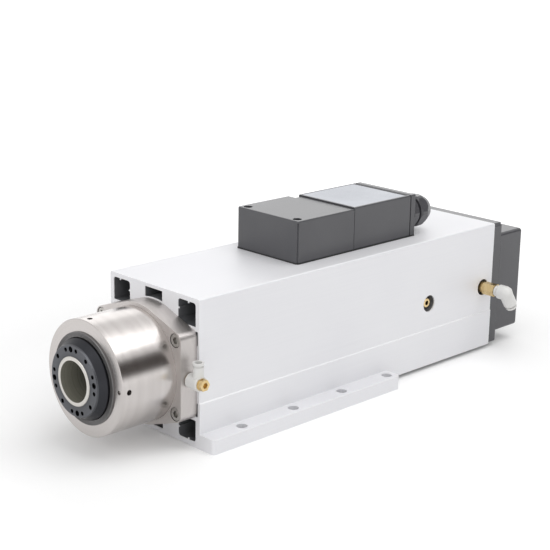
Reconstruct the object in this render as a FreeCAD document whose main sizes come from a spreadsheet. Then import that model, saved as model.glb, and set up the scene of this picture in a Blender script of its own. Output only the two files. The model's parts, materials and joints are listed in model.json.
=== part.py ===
import FreeCAD, Part
import math
import os
import Sketcher

# Motor spindle with a tool taper in its nose, millimetres.
# X is to the right as seen from the nose, +Z is up and the nose points towards -Y.
# Inside this file y = 0 is the housing's front face, and each piece is then placed
# so that the model's origin is the centre of the base bolt pattern, on the base plane.

DOC = FreeCAD.newDocument("motor_spindle")
SHEET = DOC.addObject("Spreadsheet::Sheet", "Sizes")

# Driving dimensions, by region of the spindle

GENERAL = {
    "running_clearance": 0.05,
    "seat_gap": 0.02,
    "body_gap": 0.3,
    "chamfer": 0.5,
    "fine_chamfer": 0.3,
    "overcut": 1,
}
HOUSING = {
    "housing_width": 105,
    "housing_height": 118,
    "housing_length": 356,
    "axis_height": 59,
    "bore_radius": 45,
    "tube_wall": 3.9,
    "outer_corner": 1.5,
    "ledge_height": 37,
    "ledge_step": 0.7,
    "foot_width": 137.6,
    "foot_thickness": 12,
    "foot_length": 212.5,
    "foot_corner": 3,
    "milled_underside": 3.7,
    "relief_half_width": 41,
    "relief_depth": 0.7,
    "base_hole_radius": 4.5,
    "base_hole_spacing": 122,
    "base_hole_pitch": 56,
    "base_hole_first": 36,
    "channel_width": 20,
    "channel_side_wall": 4.1,
    "channel_top_wall": 3.6,
    "channel_bottom_wall": 4.7,
    "channel_near_z": 37,
    "channel_corner": 2.5,
    "rib_width": 1.2,
    "rib_rise": 1.4,
    "rib_drop": 7.4,
    "rib_inset": 8.1,
    "middle_slot_half_width": 10.2,
    "slot_top_wall": 2.8,
    "slot_bottom_wall": 4.1,
    "side_slot_wall": 1.8,
    "side_slot_depth": 3.3,
    "side_slot_low": 22.6,
    "side_slot_high": 33.7,
    "wire_hole_radius": 8,
    "wire_hole_setback": 53,
}
NOSE = {
    "flange_thickness": 16,
    "flange_round_radius": 48,
    "lug_x": 43.5,
    "lug_z": 29,
    "lug_radius": 6.5,
    "spigot_length": 5,
    "nose_radius": 45,
    "nose_length": 50,
    "recess_radius": 35.5,
    "recess_depth": 9.2,
    "flange_screw_head_radius": 5,
    "flange_screw_head_height": 6,
    "flange_screw_radius": 3,
    "flange_screw_thread": 16,
    "flange_screw_end_gap": 1,
    "counterbore_radius": 5.5,
    "counterbore_depth": 6.4,
    "screw_socket_flats": 5,
    "grub_radius": 2.1,
    "grub_depth": 5.7,
    "grub_length": 4,
    "face_hole_radius": 1.65,
    "face_hole_offset": 40.5,
    "face_hole_depth": 10,
    "shoulder_width": 4,
    "air_hole_depth": 8,
    "nut_proud": 1.5,
    "nut_groove_count": 3,
    "nut_groove_width": 0.4,
    "nut_groove_depth": 0.5,
}
BEARINGS = {
    "front_bearing_bore": 20,
    "front_bearing_radius": 34,
    "front_bearing_width": 15,
    "front_bearing_spacing": 8,
    "front_ball_radius": 3.6,
    "front_ball_circle": 27,
    "rear_bearing_bore": 17.5,
    "rear_bearing_radius": 31,
    "rear_bearing_width": 14,
    "rear_ball_radius": 3.7,
    "rear_ball_circle": 24.25,
    "rear_journal_length": 40,
    "ball_gap": 0.1,
    "ring_split": 0.1,
    "ring_land": 0.55,
    "race_edge": 0.95,
    "race_floor": 0.45,
    "spacer_wall": 3.5,
    "carrier_lip": 10,
    "carrier_lip_rise": 4,
    "carrier_flare": 6,
    "carrier_hole_inset": 5,
    "carrier_hole_radius": 1.6,
    "lock_nut_length": 9,
    "lock_nut_radius": 24,
    "lock_nut_notch": 2,
}
ROTOR = {
    "taper_mouth_radius": 15.875,
    "taper_ratio": 7 / 48,
    "taper_depth": 46,
    "mouth_ring_radius": 19,
    "mouth_proud": 0.4,
    "nose_ring_radius": 27.5,
    "nose_ring_proud": 10,
    "cone_radius": 31.3,
    "cone_length": 7,
    "ring_hole_circle": 24.2,
    "ring_hole_depth": 5,
    "ring_hole_large": 2.25,
    "ring_hole_small": 1.6,
    "ring_hole_single": 1.75,
    "ring_hole_turn": 7.5,
    "ring_hole_spread": 15,
    "ring_lip": 1,
    "ring_neck_wall": 4,
    "ring_rear_gap": 3,
    "shaft_end_gap": 10,
    "shaft_step": 1,
    "shoulder_radius": 24,
    "shoulder_gap": 10,
    "end_ring_length": 6,
    "end_ring_step": 1,
    "end_ring_gap": 2,
    "stator_front_y": 36,
    "stator_inner_radius": 28,
    "motor_rear_gap": 14,
    "slot_count": 18,
    "slot_depth": 11,
    "slot_width": 5,
    "slot_flare": 1.3,
    "winding_inset": 1,
    "winding_corner": 2,
    "end_turn_length": 16,
    "air_gap": 0.5,
    "rotor_shaft_radius": 19,
}
DRAWBAR = {
    "drawbar_radius": 6,
    "gripper_radius": 8.5,
    "gripper_length": 20,
    "gripper_floor": 2,
    "gripper_floor_rise": 3,
    "gripper_end_gap": 1,
    "pull_stud_bore": 6.6,
    "gripper_face_y": -22,
    "gripper_ball_y": -12,
    "gripper_ball_radius": 2.4,
    "gripper_ball_reach": 6.9,
    "gripper_ball_travel": 2.1,
    "spring_bore_radius": 14,
    "spring_front_y": 60,
    "spring_count": 8,
    "spring_pitch": 3.5,
    "spring_thickness": 1.8,
    "drawbar_nut_radius": 12,
    "drawbar_nut_length": 12,
    "drawbar_overhang": 4,
    "release_travel": 7,
}
CYLINDER = {
    "cylinder_length": 100,
    "front_wall_length": 20,
    "rear_wall_length": 20.4,
    "sleeve_wall": 4,
    "piston_length": 18,
    "piston_rod_radius": 11,
    "piston_rest_gap": 1,
    "piston_travel": 8,
    "push_gap": 1.3,
    "seal_thickness": 3,
    "port_radius": 7.5,
    "port_thread_radius": 4.9,
    "port_thread_depth": 12,
    "port_face_depth": 1,
    "port_face_margin": 1,
    "mid_port_setback": 11,
    "rear_port_setback": 12.6,
    "port_rise": 1.6,
}
REAR = {
    "rear_plate_thickness": 10.5,
    "rear_plate_top_step": 2,
    "rear_plate_bottom_step": 4,
    "window_margin": 2,
    "cover_length": 33.1,
    "cover_wall": 3,
    "cover_corner": 3,
    "cover_room_above": 5,
    "cover_room_below": 2.5,
    "cover_screw_radius": 1.5,
    "cover_screw_head_height": 2,
    "cover_screw_socket_flats": 2.5,
    "cover_screw_socket_depth": 1.2,
    "fan_hole_inset": 4.25,
    "guard_slot": 4,
    "guard_rib": 2.5,
    "guard_slot_count": 4,
    "guard_hub_radius": 11.5,
    "guard_spoke": 3,
    "fan_frame": 80,
    "fan_frame_wall": 2,
    "fan_depth": 25,
    "fan_plate": 3,
    "fan_arm_width": 4,
    "fan_arm_bite": 0.5,
    "fan_hub_radius": 17,
    "fan_hub_wall": 2,
    "fan_hub_chamfer": 1.5,
    "fan_shaft_radius": 2,
    "fan_tip_gap": 1,
    "fan_blade_count": 7,
    "fan_blade_root_pitch": 55,
    "fan_blade_tip_pitch": 30,
    "fan_blade_root_bite": 1,
    "fan_blade_chord": 17,
    "fan_blade_thickness": 1.4,
}
BOX = {
    "box_centre_x": -3,
    "box_width": 71,
    "box_front_y": 122,
    "box_length": 66.5,
    "box_height": 35.5,
    "gasket_thickness": 1,
    "box_wall": 3,
    "box_corner": 2.5,
    "box_edge": 1,
    "box_corner_groove": 1.3,
    "box_corner_groove_top": 1.5,
    "box_screw_offset": 28.5,
    "box_screw_setback": 6,
    "box_screw_well_radius": 3.6,
    "box_screw_well_floor": 8,
    "box_post_wall": 1.8,
    "box_screw_clear_radius": 2.2,
    "box_thread_radius": 2,
    "box_thread_depth": 4,
    "box_screw_end_gap": 1,
    "box_screw_head_radius": 3.4,
    "box_screw_head_height": 3,
    "box_screw_socket_flats": 2.5,
    "box_screw_socket_depth": 1.6,
    "wire_window_width": 42,
    "wire_window_shift": 3,
    "wire_window_low": 4,
    "wire_window_high": 22,
    "gasket_overhang": 0.5,
    "gasket_rim": 6,
    "gasket_front_rim": 12,
    "box_notch_x": 8.5,
    "box_notch_y": 6.5,
    "hood_inset": 5.5,
    "hood_length": 71,
    "hood_height": 36.8,
    "hood_gap": 0.4,
    "hood_corner": 1.2,
    "end_plate_inset": 1,
    "end_plate_gap": 1,
    "end_plate_thickness": 5.5,
    "gland_x": 18,
    "gland_rise": 18.2,
    "gland_flats": 27,
    "gland_corner_radius": 14.8,
    "gland_corner_chamfer": 1.5,
    "gland_hex_length": 7.5,
    "gland_thread_radius": 11,
    "gland_nut_gap": 2.7,
    "gland_nut_length": 17.3,
    "gland_bore_radius": 6,
    "gland_wall": 1.5,
    "gland_inner_length": 3,
    "gland_thread_reach": 6,
    "gland_thread_cone": 2,
    "gland_nut_cylinder": 7,
    "gland_nut_lip": 3,
    "gland_dome_start": 10,
    "terminal_length": 42,
    "terminal_depth": 16,
    "terminal_height": 14,
    "terminal_setback": 12,
    "terminal_shoulder": 5,
    "terminal_slope": 4,
    "terminal_count": 6,
    "terminal_screw_radius": 2,
}
FITTINGS = {
    "elbow_radius": 6,
    "front_elbow_y": -7,
    "front_elbow_drop": 2,
    "front_elbow_start": 50.5,
    "front_elbow_end": 62.5,
    "front_barrel_x": 59.3,
    "front_barrel_radius": 4.15,
    "front_barrel_top": 13,
    "collar_radius": 4.45,
    "collar_height": 2,
    "collar_travel": 1,
    "collar_sleeve_wall": 0.5,
    "collar_sleeve_depth": 4,
    "tube_radius": 3,
    "banjo_radius": 3.9,
    "banjo_bore": 1.2,
    "banjo_thread_length": 6,
    "banjo_seat_radius": 5,
    "banjo_gap": 0.1,
    "banjo_washer_radius": 4.6,
    "banjo_washer_thickness": 0.5,
    "banjo_flats": 8,
    "banjo_end": 67,
    "banjo_socket_depth": 3.5,
    "fitting_thread_length": 8,
    "plug_bore": 2,
    "plug_flange_radius": 6,
    "plug_flange_length": 2,
    "plug_body_radius": 4.3,
    "plug_length": 6,
    "nipple_bore": 1.8,
    "nipple_shank_radius": 5.2,
    "nipple_proud": 2.5,
    "nipple_flats": 10.5,
    "nipple_end": 67.5,
    "nipple_tail_radius": 3.6,
    "nipple_tail_length": 6,
    "rear_elbow_small": 5,
    "rear_elbow_large": 6.5,
    "rear_elbow_neck": 2,
    "rear_elbow_corner_x": 78,
    "rear_elbow_drop": 18,
    "rear_elbow_tilt": 35,
    "rear_leg_radius": 6,
    "rear_leg_round": 1.5,
    "rear_collar_radius": 5.2,
}


class Size:
    """A length that carries both its value and the sheet expression it comes from."""

    def __init__(self, value, text):
        self.value = float(value)
        self.text = text

    def joined(self, other, sign, value):
        return Size(value, "(%s %s %s)" % (self.text, sign, other.text))

    def __add__(self, other):
        other = as_size(other)
        return self.joined(other, "+", self.value + other.value)

    def __radd__(self, other):
        return as_size(other) + self

    def __sub__(self, other):
        other = as_size(other)
        return self.joined(other, "-", self.value - other.value)

    def __rsub__(self, other):
        return as_size(other) - self

    def __mul__(self, other):
        other = as_size(other)
        return self.joined(other, "*", self.value * other.value)

    def __rmul__(self, other):
        return as_size(other) * self

    def __truediv__(self, other):
        other = as_size(other)
        return self.joined(other, "/", self.value / other.value)

    def __neg__(self):
        return Size(0, "0") - self


def as_size(number):
    if isinstance(number, Size):
        return number
    return Size(number, repr(float(number)))


class Sizes:
    """The sheet's cells by name."""


def fill_sheet():
    row = 1
    for region in (GENERAL, HOUSING, NOSE, BEARINGS, ROTOR, DRAWBAR, CYLINDER, REAR, BOX, FITTINGS):
        for name, value in region.items():
            SHEET.set("A%d" % row, name)
            SHEET.set("B%d" % row, str(value))
            SHEET.setAlias("B%d" % row, name)
            setattr(Sizes, name, Size(value, "Sizes." + name))
            row += 1
    DOC.recompute()


fill_sheet()
S = Sizes

# Places worked out from the driving dimensions

ZERO = as_size(0)
DATUM_Y = -(S.base_hole_first + S.base_hole_pitch * 1.5)
HALF_WIDTH = S.housing_width / 2
FOOT_HALF = S.foot_width / 2
TUBE_RADIUS = S.bore_radius + S.tube_wall
TOP_RISE = S.housing_height - S.axis_height
CHANNEL_OUTER_X = HALF_WIDTH - S.channel_side_wall
CHANNEL_INNER_X = CHANNEL_OUTER_X - S.channel_width
TOP_CHANNEL_FAR = TOP_RISE - S.channel_top_wall
BOTTOM_CHANNEL_FAR = S.axis_height - S.channel_bottom_wall
NOSE_FRONT = -(S.flange_thickness + S.nose_length)
RING_FACE = NOSE_FRONT - S.nose_ring_proud
MOUTH_FACE = RING_FACE - S.mouth_proud
RECESS_FLOOR = NOSE_FRONT + S.recess_depth
FRONT_SHOULDER = RECESS_FLOOR + S.front_bearing_width * 2 + S.front_bearing_spacing
FRONT_WALL_Y = S.housing_length - S.cylinder_length
SHAFT_REAR = FRONT_WALL_Y - S.shaft_end_gap
REAR_BEARING_Y = SHAFT_REAR - S.rear_journal_length
REAR_PAIR_END = REAR_BEARING_Y + S.rear_bearing_width * 2 + S.ring_split
REAR_WALL_Y = S.housing_length - S.rear_wall_length
SLEEVE_FRONT = FRONT_WALL_Y + S.front_wall_length
COVER_FRONT = S.housing_length + S.rear_plate_thickness
COVER_REAR = COVER_FRONT + S.cover_length
STATOR_REAR = REAR_BEARING_Y - S.carrier_lip - S.motor_rear_gap - S.end_turn_length
ROTOR_RADIUS = S.stator_inner_radius - S.air_gap
SHAFT_STEP = NOSE_FRONT + S.shaft_step
TAPER_END = MOUTH_FACE + S.taper_depth
TAPER_END_RADIUS = S.taper_mouth_radius - S.taper_depth * S.taper_ratio
SPRING_REAR = S.spring_front_y + S.spring_count * S.spring_pitch
DRAWBAR_END = SHAFT_REAR + S.drawbar_overhang
GRIPPER_END = S.gripper_face_y + S.gripper_length
PISTON_REAR = REAR_WALL_Y - S.piston_rest_gap
PISTON_RADIUS = S.bore_radius - S.sleeve_wall - S.running_clearance
BOX_BASE = S.housing_height + S.gasket_thickness
BOX_TOP = S.housing_height + S.box_height
HOOD_TOP = S.housing_height + S.hood_height
BOX_REAR = S.box_front_y + S.box_length
HOOD_FRONT = BOX_REAR + S.hood_gap
HOOD_REAR = HOOD_FRONT + S.hood_length
PLATE_FRONT = HOOD_REAR + S.end_plate_gap
PLATE_REAR = PLATE_FRONT + S.end_plate_thickness
BOX_LEFT = S.box_centre_x - S.box_width / 2
HOOD_LEFT = BOX_LEFT + S.hood_inset
BOX_RIGHT = S.box_centre_x + S.box_width / 2
GLAND_Z = S.housing_height + S.gland_rise
MID_PORT_Y = FRONT_WALL_Y + S.mid_port_setback
REAR_PORT_Y = S.housing_length - S.rear_port_setback
PORT_Z = S.axis_height + S.port_rise
PORT_SEAT = S.bore_radius - S.port_face_depth
FAN_FRONT = COVER_REAR - S.cover_wall - S.fan_depth
FAN_RADIUS = S.fan_frame / 2 - S.fan_frame_wall
COVER_TOP = S.fan_frame / 2 + S.cover_room_above + S.cover_wall
COVER_BOTTOM = S.fan_frame / 2 + S.cover_room_below + S.cover_wall
COLLAR_GAP = S.collar_travel + S.body_gap
PARTS = []


# Helpers: bodies, sketches and features

def vector(x, y, z):
    return FreeCAD.Vector(x, y, z)


def new_piece(label, x=ZERO, y=ZERO, z=ZERO, turn=None):
    """A body whose own frame is placed at x, y, z, with y counted from the housing's front."""
    body = DOC.addObject("PartDesign::Body", label)
    body.Label = label
    body.AllowCompound = True
    if turn:
        body.Placement.Rotation = turn
    bind_place(body, x, y, z)
    PARTS.append(body)
    return body


def bind_place(piece, x, y, z):
    for axis, length in (("x", x), ("y", DATUM_Y + y), ("z", z)):
        piece.setExpression("Placement.Base." + axis, as_size(length).text)


def on_axis(label, turn=None):
    """A body placed on the spindle's axis, its y counted from the housing's front."""
    return new_piece(label, z=S.axis_height, turn=turn)


def origin_feature(body, role):
    for feature in body.Origin.OriginFeatures:
        if feature.Role == role:
            return feature
    raise ValueError(role)


def plane_sign(role):
    return -1 if role == "XZ_Plane" else 1


def new_sketch(body, role="XZ_Plane", at=ZERO):
    sketch = body.newObject("Sketcher::SketchObject", body.Label + "_sketch")
    sketch.AttachmentSupport = [(origin_feature(body, role), "")]
    sketch.MapMode = "FlatFace"
    offset = as_size(at) * plane_sign(role)
    sketch.setExpression("AttachmentOffset.Base.z", offset.text)
    return sketch


def pins(index, end, x, y):
    """The two lengths that place one point of a sketch from the sketch's origin."""
    return [("DistanceX", index, end, as_size(x)), ("DistanceY", index, end, as_size(y))]


def constrain(sketch, joins, lengths):
    """Adds a sketch's constraints in one step and binds its lengths to the sheet."""
    wanted = [Sketcher.Constraint(*join) for join in joins]
    first = sketch.ConstraintCount + len(joins)
    for entry in lengths:
        wanted.append(Sketcher.Constraint(*entry[:-1], entry[-1].value))
    sketch.addConstraint(wanted)
    for number, entry in enumerate(lengths, first):
        sketch.setExpression("Constraints[%d]" % number, entry[-1].text)


def draw_outline(sketch, points):
    """A closed outline of straight edges through the points."""
    points = [(as_size(x), as_size(y)) for x, y in points]
    first = sketch.GeometryCount
    count = len(points)
    corners = [vector(x.value, y.value, 0) for x, y in points]
    lines = [Part.LineSegment(corners[step - 1], corners[step]) for step in range(count)]
    sketch.addGeometry(lines, False)
    joins = []
    lengths = []
    for step, (x, y) in enumerate(points):
        joins.append(("Coincident", first + step, 2, first + (step + 1) % count, 1))
        lengths += pins(first + step, 2, x, y)
    constrain(sketch, joins, lengths)


def draw_circle(sketch, x, y, radius):
    x, y, radius = as_size(x), as_size(y), as_size(radius)
    middle = vector(x.value, y.value, 0)
    index = sketch.addGeometry(Part.Circle(middle, vector(0, 0, 1), radius.value), False)
    constrain(sketch, [], pins(index, 3, x, y) + [("Radius", index, radius)])


def draw_box(sketch, low_x, low_y, high_x, high_y):
    draw_outline(sketch, [(low_x, low_y), (high_x, low_y), (high_x, high_y), (low_x, high_y)])


def draw_polygon(sketch, x, y, across_flats, sides=6, start=0.0):
    """A regular polygon, its first corner at the angle start in degrees."""
    reach = across_flats / (2 * math.cos(math.pi / sides))
    corners = []
    for step in range(sides):
        angle = math.radians(start + 360.0 * step / sides)
        corners.append((x + reach * math.cos(angle), y + reach * math.sin(angle)))
    draw_outline(sketch, corners)


def extrude(body, sketch, length, forward=True):
    """Pads a sketch along its plane's axis, forward being towards plus."""
    pad = body.newObject("PartDesign::Pad", body.Label + "_pad")
    pad.Profile = sketch
    pad.setExpression("Length", as_size(length).text)
    pad.Reversed = (plane_sign(sketch_role(sketch)) > 0) != forward
    DOC.recompute()
    return pad


def cut(body, sketch, length, forward=True):
    """Pockets a sketch along its plane's axis and checks that it took material away."""
    before = body.Shape.Volume
    pocket = body.newObject("PartDesign::Pocket", body.Label + "_pocket")
    pocket.Profile = sketch
    pocket.setExpression("Length", as_size(length).text)
    pocket.Reversed = (plane_sign(sketch_role(sketch)) > 0) == forward
    DOC.recompute()
    if body.Shape.Volume >= before:
        raise ValueError("a pocket of %s cuts nothing" % body.Label)
    return pocket


def sketch_role(sketch):
    return sketch.AttachmentSupport[0][0].Role


def spin(body, points):
    """Revolves an outline of (radius, y) points about the body's own Y axis."""
    sketch = new_sketch(body, "XY_Plane")
    draw_outline(sketch, points)
    turned = body.newObject("PartDesign::Revolution", body.Label + "_revolution")
    turned.Profile = sketch
    turned.ReferenceAxis = (sketch, ["V_Axis"])
    turned.Angle = 360
    DOC.recompute()
    return turned


def groove(body, points):
    before = body.Shape.Volume
    sketch = new_sketch(body, "XY_Plane")
    draw_outline(sketch, points)
    turned = body.newObject("PartDesign::Groove", body.Label + "_groove")
    turned.Profile = sketch
    turned.ReferenceAxis = (sketch, ["V_Axis"])
    turned.Angle = 360
    DOC.recompute()
    if body.Shape.Volume >= before:
        raise ValueError("a groove of %s cuts nothing" % body.Label)
    return turned


def ring(label, inner, outer, start, stop):
    """A plain turned ring on the spindle's axis."""
    add_ring(on_axis(label), inner, outer, start, stop)


def add_ring(body, inner, outer, start, stop, chamfer=None):
    """A turned ring, its outer edges broken where a chamfer is given."""
    if chamfer:
        rim = [(outer - chamfer, start), (outer, start + chamfer), (outer, stop - chamfer),
               (outer - chamfer, stop)]
    else:
        rim = [(outer, start), (outer, stop)]
    spin(body, [(inner, start)] + rim + [(inner, stop)])


def around(body, features, count):
    """Repeats features about the body's own Y axis."""
    pattern = body.newObject("PartDesign::PolarPattern", body.Label + "_pattern")
    pattern.Originals = features
    pattern.Axis = (origin_feature(body, "Y_Axis"), [""])
    pattern.Angle = 360
    pattern.setExpression("Occurrences", as_size(count).text)
    body.Tip = pattern
    DOC.recompute()
    return pattern


def round_edges(body, radius, wanted):
    """Fillets the edges for which wanted(edge) is true."""
    base = body.Tip
    names = []
    for number, edge in enumerate(base.Shape.Edges, 1):
        if wanted(edge):
            names.append("Edge%d" % number)
    if not names:
        raise ValueError("no edge to round on " + body.Label)
    fillet = body.newObject("PartDesign::Fillet", body.Label + "_fillet")
    fillet.Base = (base, names)
    fillet.setExpression("Radius", as_size(radius).text)
    DOC.recompute()
    return fillet


def runs_along(edge, axis):
    """True for a straight edge parallel to X, Y or Z (0, 1 or 2)."""
    if len(edge.Vertexes) != 2:
        return False
    gap = edge.Vertexes[1].Point - edge.Vertexes[0].Point
    others = [abs(gap[other]) for other in range(3) if other != axis]
    return abs(gap[axis]) > 1e-6 and max(others) < 1e-6


def near(number, length):
    return abs(number - as_size(length).value) < 1e-4


# Housing

def housing_extrusion():
    body = new_piece("housing_extrusion")
    half = HALF_WIDTH
    step = half + S.ledge_step
    sketch = new_sketch(body)
    right = [
        (half, S.housing_height), (half, S.ledge_height), (step, S.ledge_height - S.ledge_step),
        (step, S.foot_thickness), (FOOT_HALF, S.foot_thickness), (FOOT_HALF, ZERO),
        (S.relief_half_width, ZERO), (S.relief_half_width - S.relief_depth, S.relief_depth)]
    left = [(-x, z) for x, z in reversed(right)]
    draw_outline(sketch, right + left)
    extrude(body, sketch, S.housing_length)
    round_edges(body, S.outer_corner, lambda edge: (
        runs_along(edge, 1) and near(abs(edge.Vertexes[0].X), half)
        and near(edge.Vertexes[0].Z, S.housing_height)))
    mill_rear_foot(body, step)
    cut_channels(body)
    tube = new_sketch(body)
    draw_circle(tube, 0, S.axis_height, TUBE_RADIUS)
    extrude(body, tube, S.housing_length)
    bore = new_sketch(body)
    draw_circle(bore, 0, S.axis_height, S.bore_radius)
    cut(body, bore, S.housing_length)
    drill_base(body)
    drill_side_ports(body)
    wires = new_sketch(body, "XY_Plane", S.housing_height)
    draw_circle(wires, S.box_centre_x, S.box_front_y + S.wire_hole_setback, S.wire_hole_radius)
    cut(body, wires, TOP_RISE, forward=False)
    drill_flange_threads(body)
    box_threads = new_sketch(body, "XY_Plane", S.housing_height)
    for x, y in box_screw_places():
        draw_circle(box_threads, x, y, S.box_thread_radius)
    cut(body, box_threads, S.box_thread_depth, forward=False)


def mill_rear_foot(body, step):
    """Behind the foot the flanges are milled off and the underside is stepped up."""
    milled = S.housing_length - S.foot_length
    for side in (-1, 1):
        flange = new_sketch(body, "XZ_Plane", S.foot_length)
        edges = sorted((step * side, FOOT_HALF * side), key=lambda size: size.value)
        draw_box(flange, edges[0], ZERO, edges[1], S.foot_thickness)
        cut(body, flange, milled)
    under = new_sketch(body, "XZ_Plane", S.foot_length)
    draw_box(under, -step, ZERO, step, S.milled_underside)
    cut(body, under, milled)
    round_edges(body, S.foot_corner, lambda edge: (
        runs_along(edge, 2) and near(abs(edge.Vertexes[0].X), FOOT_HALF)))


def channel_outline(side, lift, far):
    """A corner channel with a small rib on its far wall and one on its inner wall."""
    inner = CHANNEL_INNER_X
    outer = CHANNEL_OUTER_X
    half = S.rib_width / 2
    rib_x = outer - S.rib_inset
    rib_rise = far - S.rib_drop
    points = [
        (inner, S.channel_near_z), (outer, S.channel_near_z), (outer, far), (rib_x + half, far),
        (rib_x + half, far - S.rib_rise), (rib_x - half, far - S.rib_rise), (rib_x - half, far),
        (inner, far), (inner, rib_rise + half), (inner + S.rib_rise, rib_rise + half),
        (inner + S.rib_rise, rib_rise - half), (inner, rib_rise - half)]
    return [(x * side, S.axis_height + rise * lift) for x, rise in points]


def cut_channels(body):
    slots = new_sketch(body)
    slot_outer = HALF_WIDTH - S.side_slot_wall
    slot_inner = slot_outer - S.side_slot_depth
    half = S.middle_slot_half_width
    for lift, far, slot_far in (
            (1, TOP_CHANNEL_FAR, TOP_RISE - S.slot_top_wall),
            (-1, BOTTOM_CHANNEL_FAR, S.axis_height - S.slot_bottom_wall)):
        low = S.axis_height + S.side_slot_low * lift
        high = S.axis_height + S.side_slot_high * lift
        for side in (-1, 1):
            draw_outline(slots, channel_outline(side, lift, far))
            draw_box(slots, slot_inner * side, low, slot_outer * side, high)
        inside_tube = S.axis_height + S.bore_radius / 2 * lift
        draw_box(slots, -half, inside_tube, half, S.axis_height + slot_far * lift)
    cut(body, slots, S.housing_length)
    round_edges(body, S.channel_corner, is_channel_corner)


def is_channel_corner(edge):
    if not runs_along(edge, 1):
        return False
    place = edge.Vertexes[0].Point
    across = near(abs(place.x), CHANNEL_OUTER_X) or near(abs(place.x), CHANNEL_INNER_X)
    rise = place.z - S.axis_height.value
    return across and (near(rise, TOP_CHANNEL_FAR) or near(-rise, BOTTOM_CHANNEL_FAR))


def drill_base(body):
    holes = new_sketch(body, "XY_Plane", S.foot_thickness)
    for side in (-0.5, 0.5):
        draw_circle(holes, S.base_hole_spacing * side, S.base_hole_first, S.base_hole_radius)
    first = cut(body, holes, S.foot_thickness, forward=False)
    row = body.newObject("PartDesign::LinearPattern", "base_hole_row")
    row.Originals = [first]
    row.Direction = (origin_feature(body, "Y_Axis"), [""])
    row.setExpression("Length", (S.base_hole_pitch * 3).text)
    row.Occurrences = 4
    body.Tip = row
    DOC.recompute()


def drill_side_ports(body):
    for place in (MID_PORT_Y, REAR_PORT_Y):
        port = new_sketch(body, "YZ_Plane", HALF_WIDTH)
        draw_circle(port, place, PORT_Z, S.port_radius)
        cut(body, port, HALF_WIDTH, forward=False)


def drill_flange_threads(body):
    threads = new_sketch(body)
    draw_lug_circles(threads, S.flange_screw_radius, S.axis_height)
    cut(body, threads, S.flange_screw_thread)


def draw_lug_circles(sketch, radius, middle_z):
    for side in (-1, 1):
        for lift in (-1, 1):
            draw_circle(sketch, S.lug_x * side, middle_z + S.lug_z * lift, radius)


# Nose

def lug_tangent_angle():
    """Angle of the line that touches both the flange's round and a lug, in radians."""
    reach = math.hypot(S.lug_x.value, S.lug_z.value)
    spread = math.acos((S.flange_round_radius.value - S.lug_radius.value) / reach)
    return math.atan2(S.lug_z.value, S.lug_x.value) + spread


def nose_housing():
    body = on_axis("nose_housing")
    flange = new_sketch(body, "XZ_Plane", -S.flange_thickness)
    draw_flange(flange)
    extrude(body, flange, S.flange_thickness)
    add_nose_barrel(body)
    bore = new_sketch(body, "XZ_Plane", -S.flange_thickness)
    draw_circle(bore, 0, 0, S.front_bearing_radius - S.shoulder_width)
    cut(body, bore, S.flange_thickness)
    heads = new_sketch(body, "XZ_Plane", -S.flange_thickness)
    draw_lug_circles(heads, S.counterbore_radius, ZERO)
    cut(body, heads, S.counterbore_depth)
    shanks = new_sketch(body, "XZ_Plane", -S.flange_thickness)
    draw_lug_circles(shanks, S.flange_screw_radius + S.seat_gap, ZERO)
    cut(body, shanks, S.flange_thickness)
    face_hole = new_sketch(body, "XZ_Plane", NOSE_FRONT)
    draw_circle(face_hole, S.face_hole_offset, 0, S.face_hole_radius)
    cut(body, face_hole, S.face_hole_depth)
    grub_hole = new_sketch(body, "XY_Plane", S.nose_radius)
    draw_circle(grub_hole, 0, NOSE_FRONT + S.grub_depth, S.grub_radius)
    first = cut(body, grub_hole, S.nose_radius - S.recess_radius + S.overcut, forward=False)
    around(body, [first], 4)
    air_hole = new_sketch(body, "YZ_Plane", S.lug_x + S.lug_radius)
    draw_circle(air_hole, S.front_elbow_y, -S.front_elbow_drop, S.banjo_radius)
    cut(body, air_hole, S.air_hole_depth, forward=False)


def draw_flange(sketch):
    """Round flange with four lugs: tangent lines join the arcs, flat at both sides."""
    angle = math.degrees(lug_tangent_angle())
    big = S.flange_round_radius
    small = S.lug_radius
    round_arc(sketch, ZERO, ZERO, big, angle, 180 - angle)
    lug_arc(sketch, -1, 1, small, 180 - angle, 180)
    lug_arc(sketch, -1, -1, small, 180, 180 + angle)
    round_arc(sketch, ZERO, ZERO, big, 180 + angle, 360 - angle)
    lug_arc(sketch, 1, -1, small, 360 - angle, 360)
    lug_arc(sketch, 1, 1, small, 0, angle)
    arc_count = 6
    for index in range(arc_count):
        join_arcs(sketch, index, (index + 1) % arc_count)


def round_arc(sketch, x, y, radius, start, stop):
    middle = vector(x.value, y.value, 0)
    circle = Part.Circle(middle, vector(0, 0, 1), radius.value)
    arc = Part.ArcOfCircle(circle, math.radians(start), math.radians(stop))
    index = sketch.addGeometry(arc, False)
    constrain(sketch, [], pins(index, 3, x, y) + [("Radius", index, radius)])
    return index


def lug_arc(sketch, side, lift, radius, start, stop):
    return round_arc(sketch, S.lug_x * side, S.lug_z * lift, radius, start, stop)


def join_arcs(sketch, before, after):
    """A line tangent to the end of one arc and to the start of the next."""
    start = sketch.getPoint(before, 2)
    stop = sketch.getPoint(after, 1)
    line = sketch.addGeometry(Part.LineSegment(start, stop), False)
    constrain(sketch, [("Tangent", before, 2, line, 1), ("Tangent", line, 2, after, 1)], [])


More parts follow.
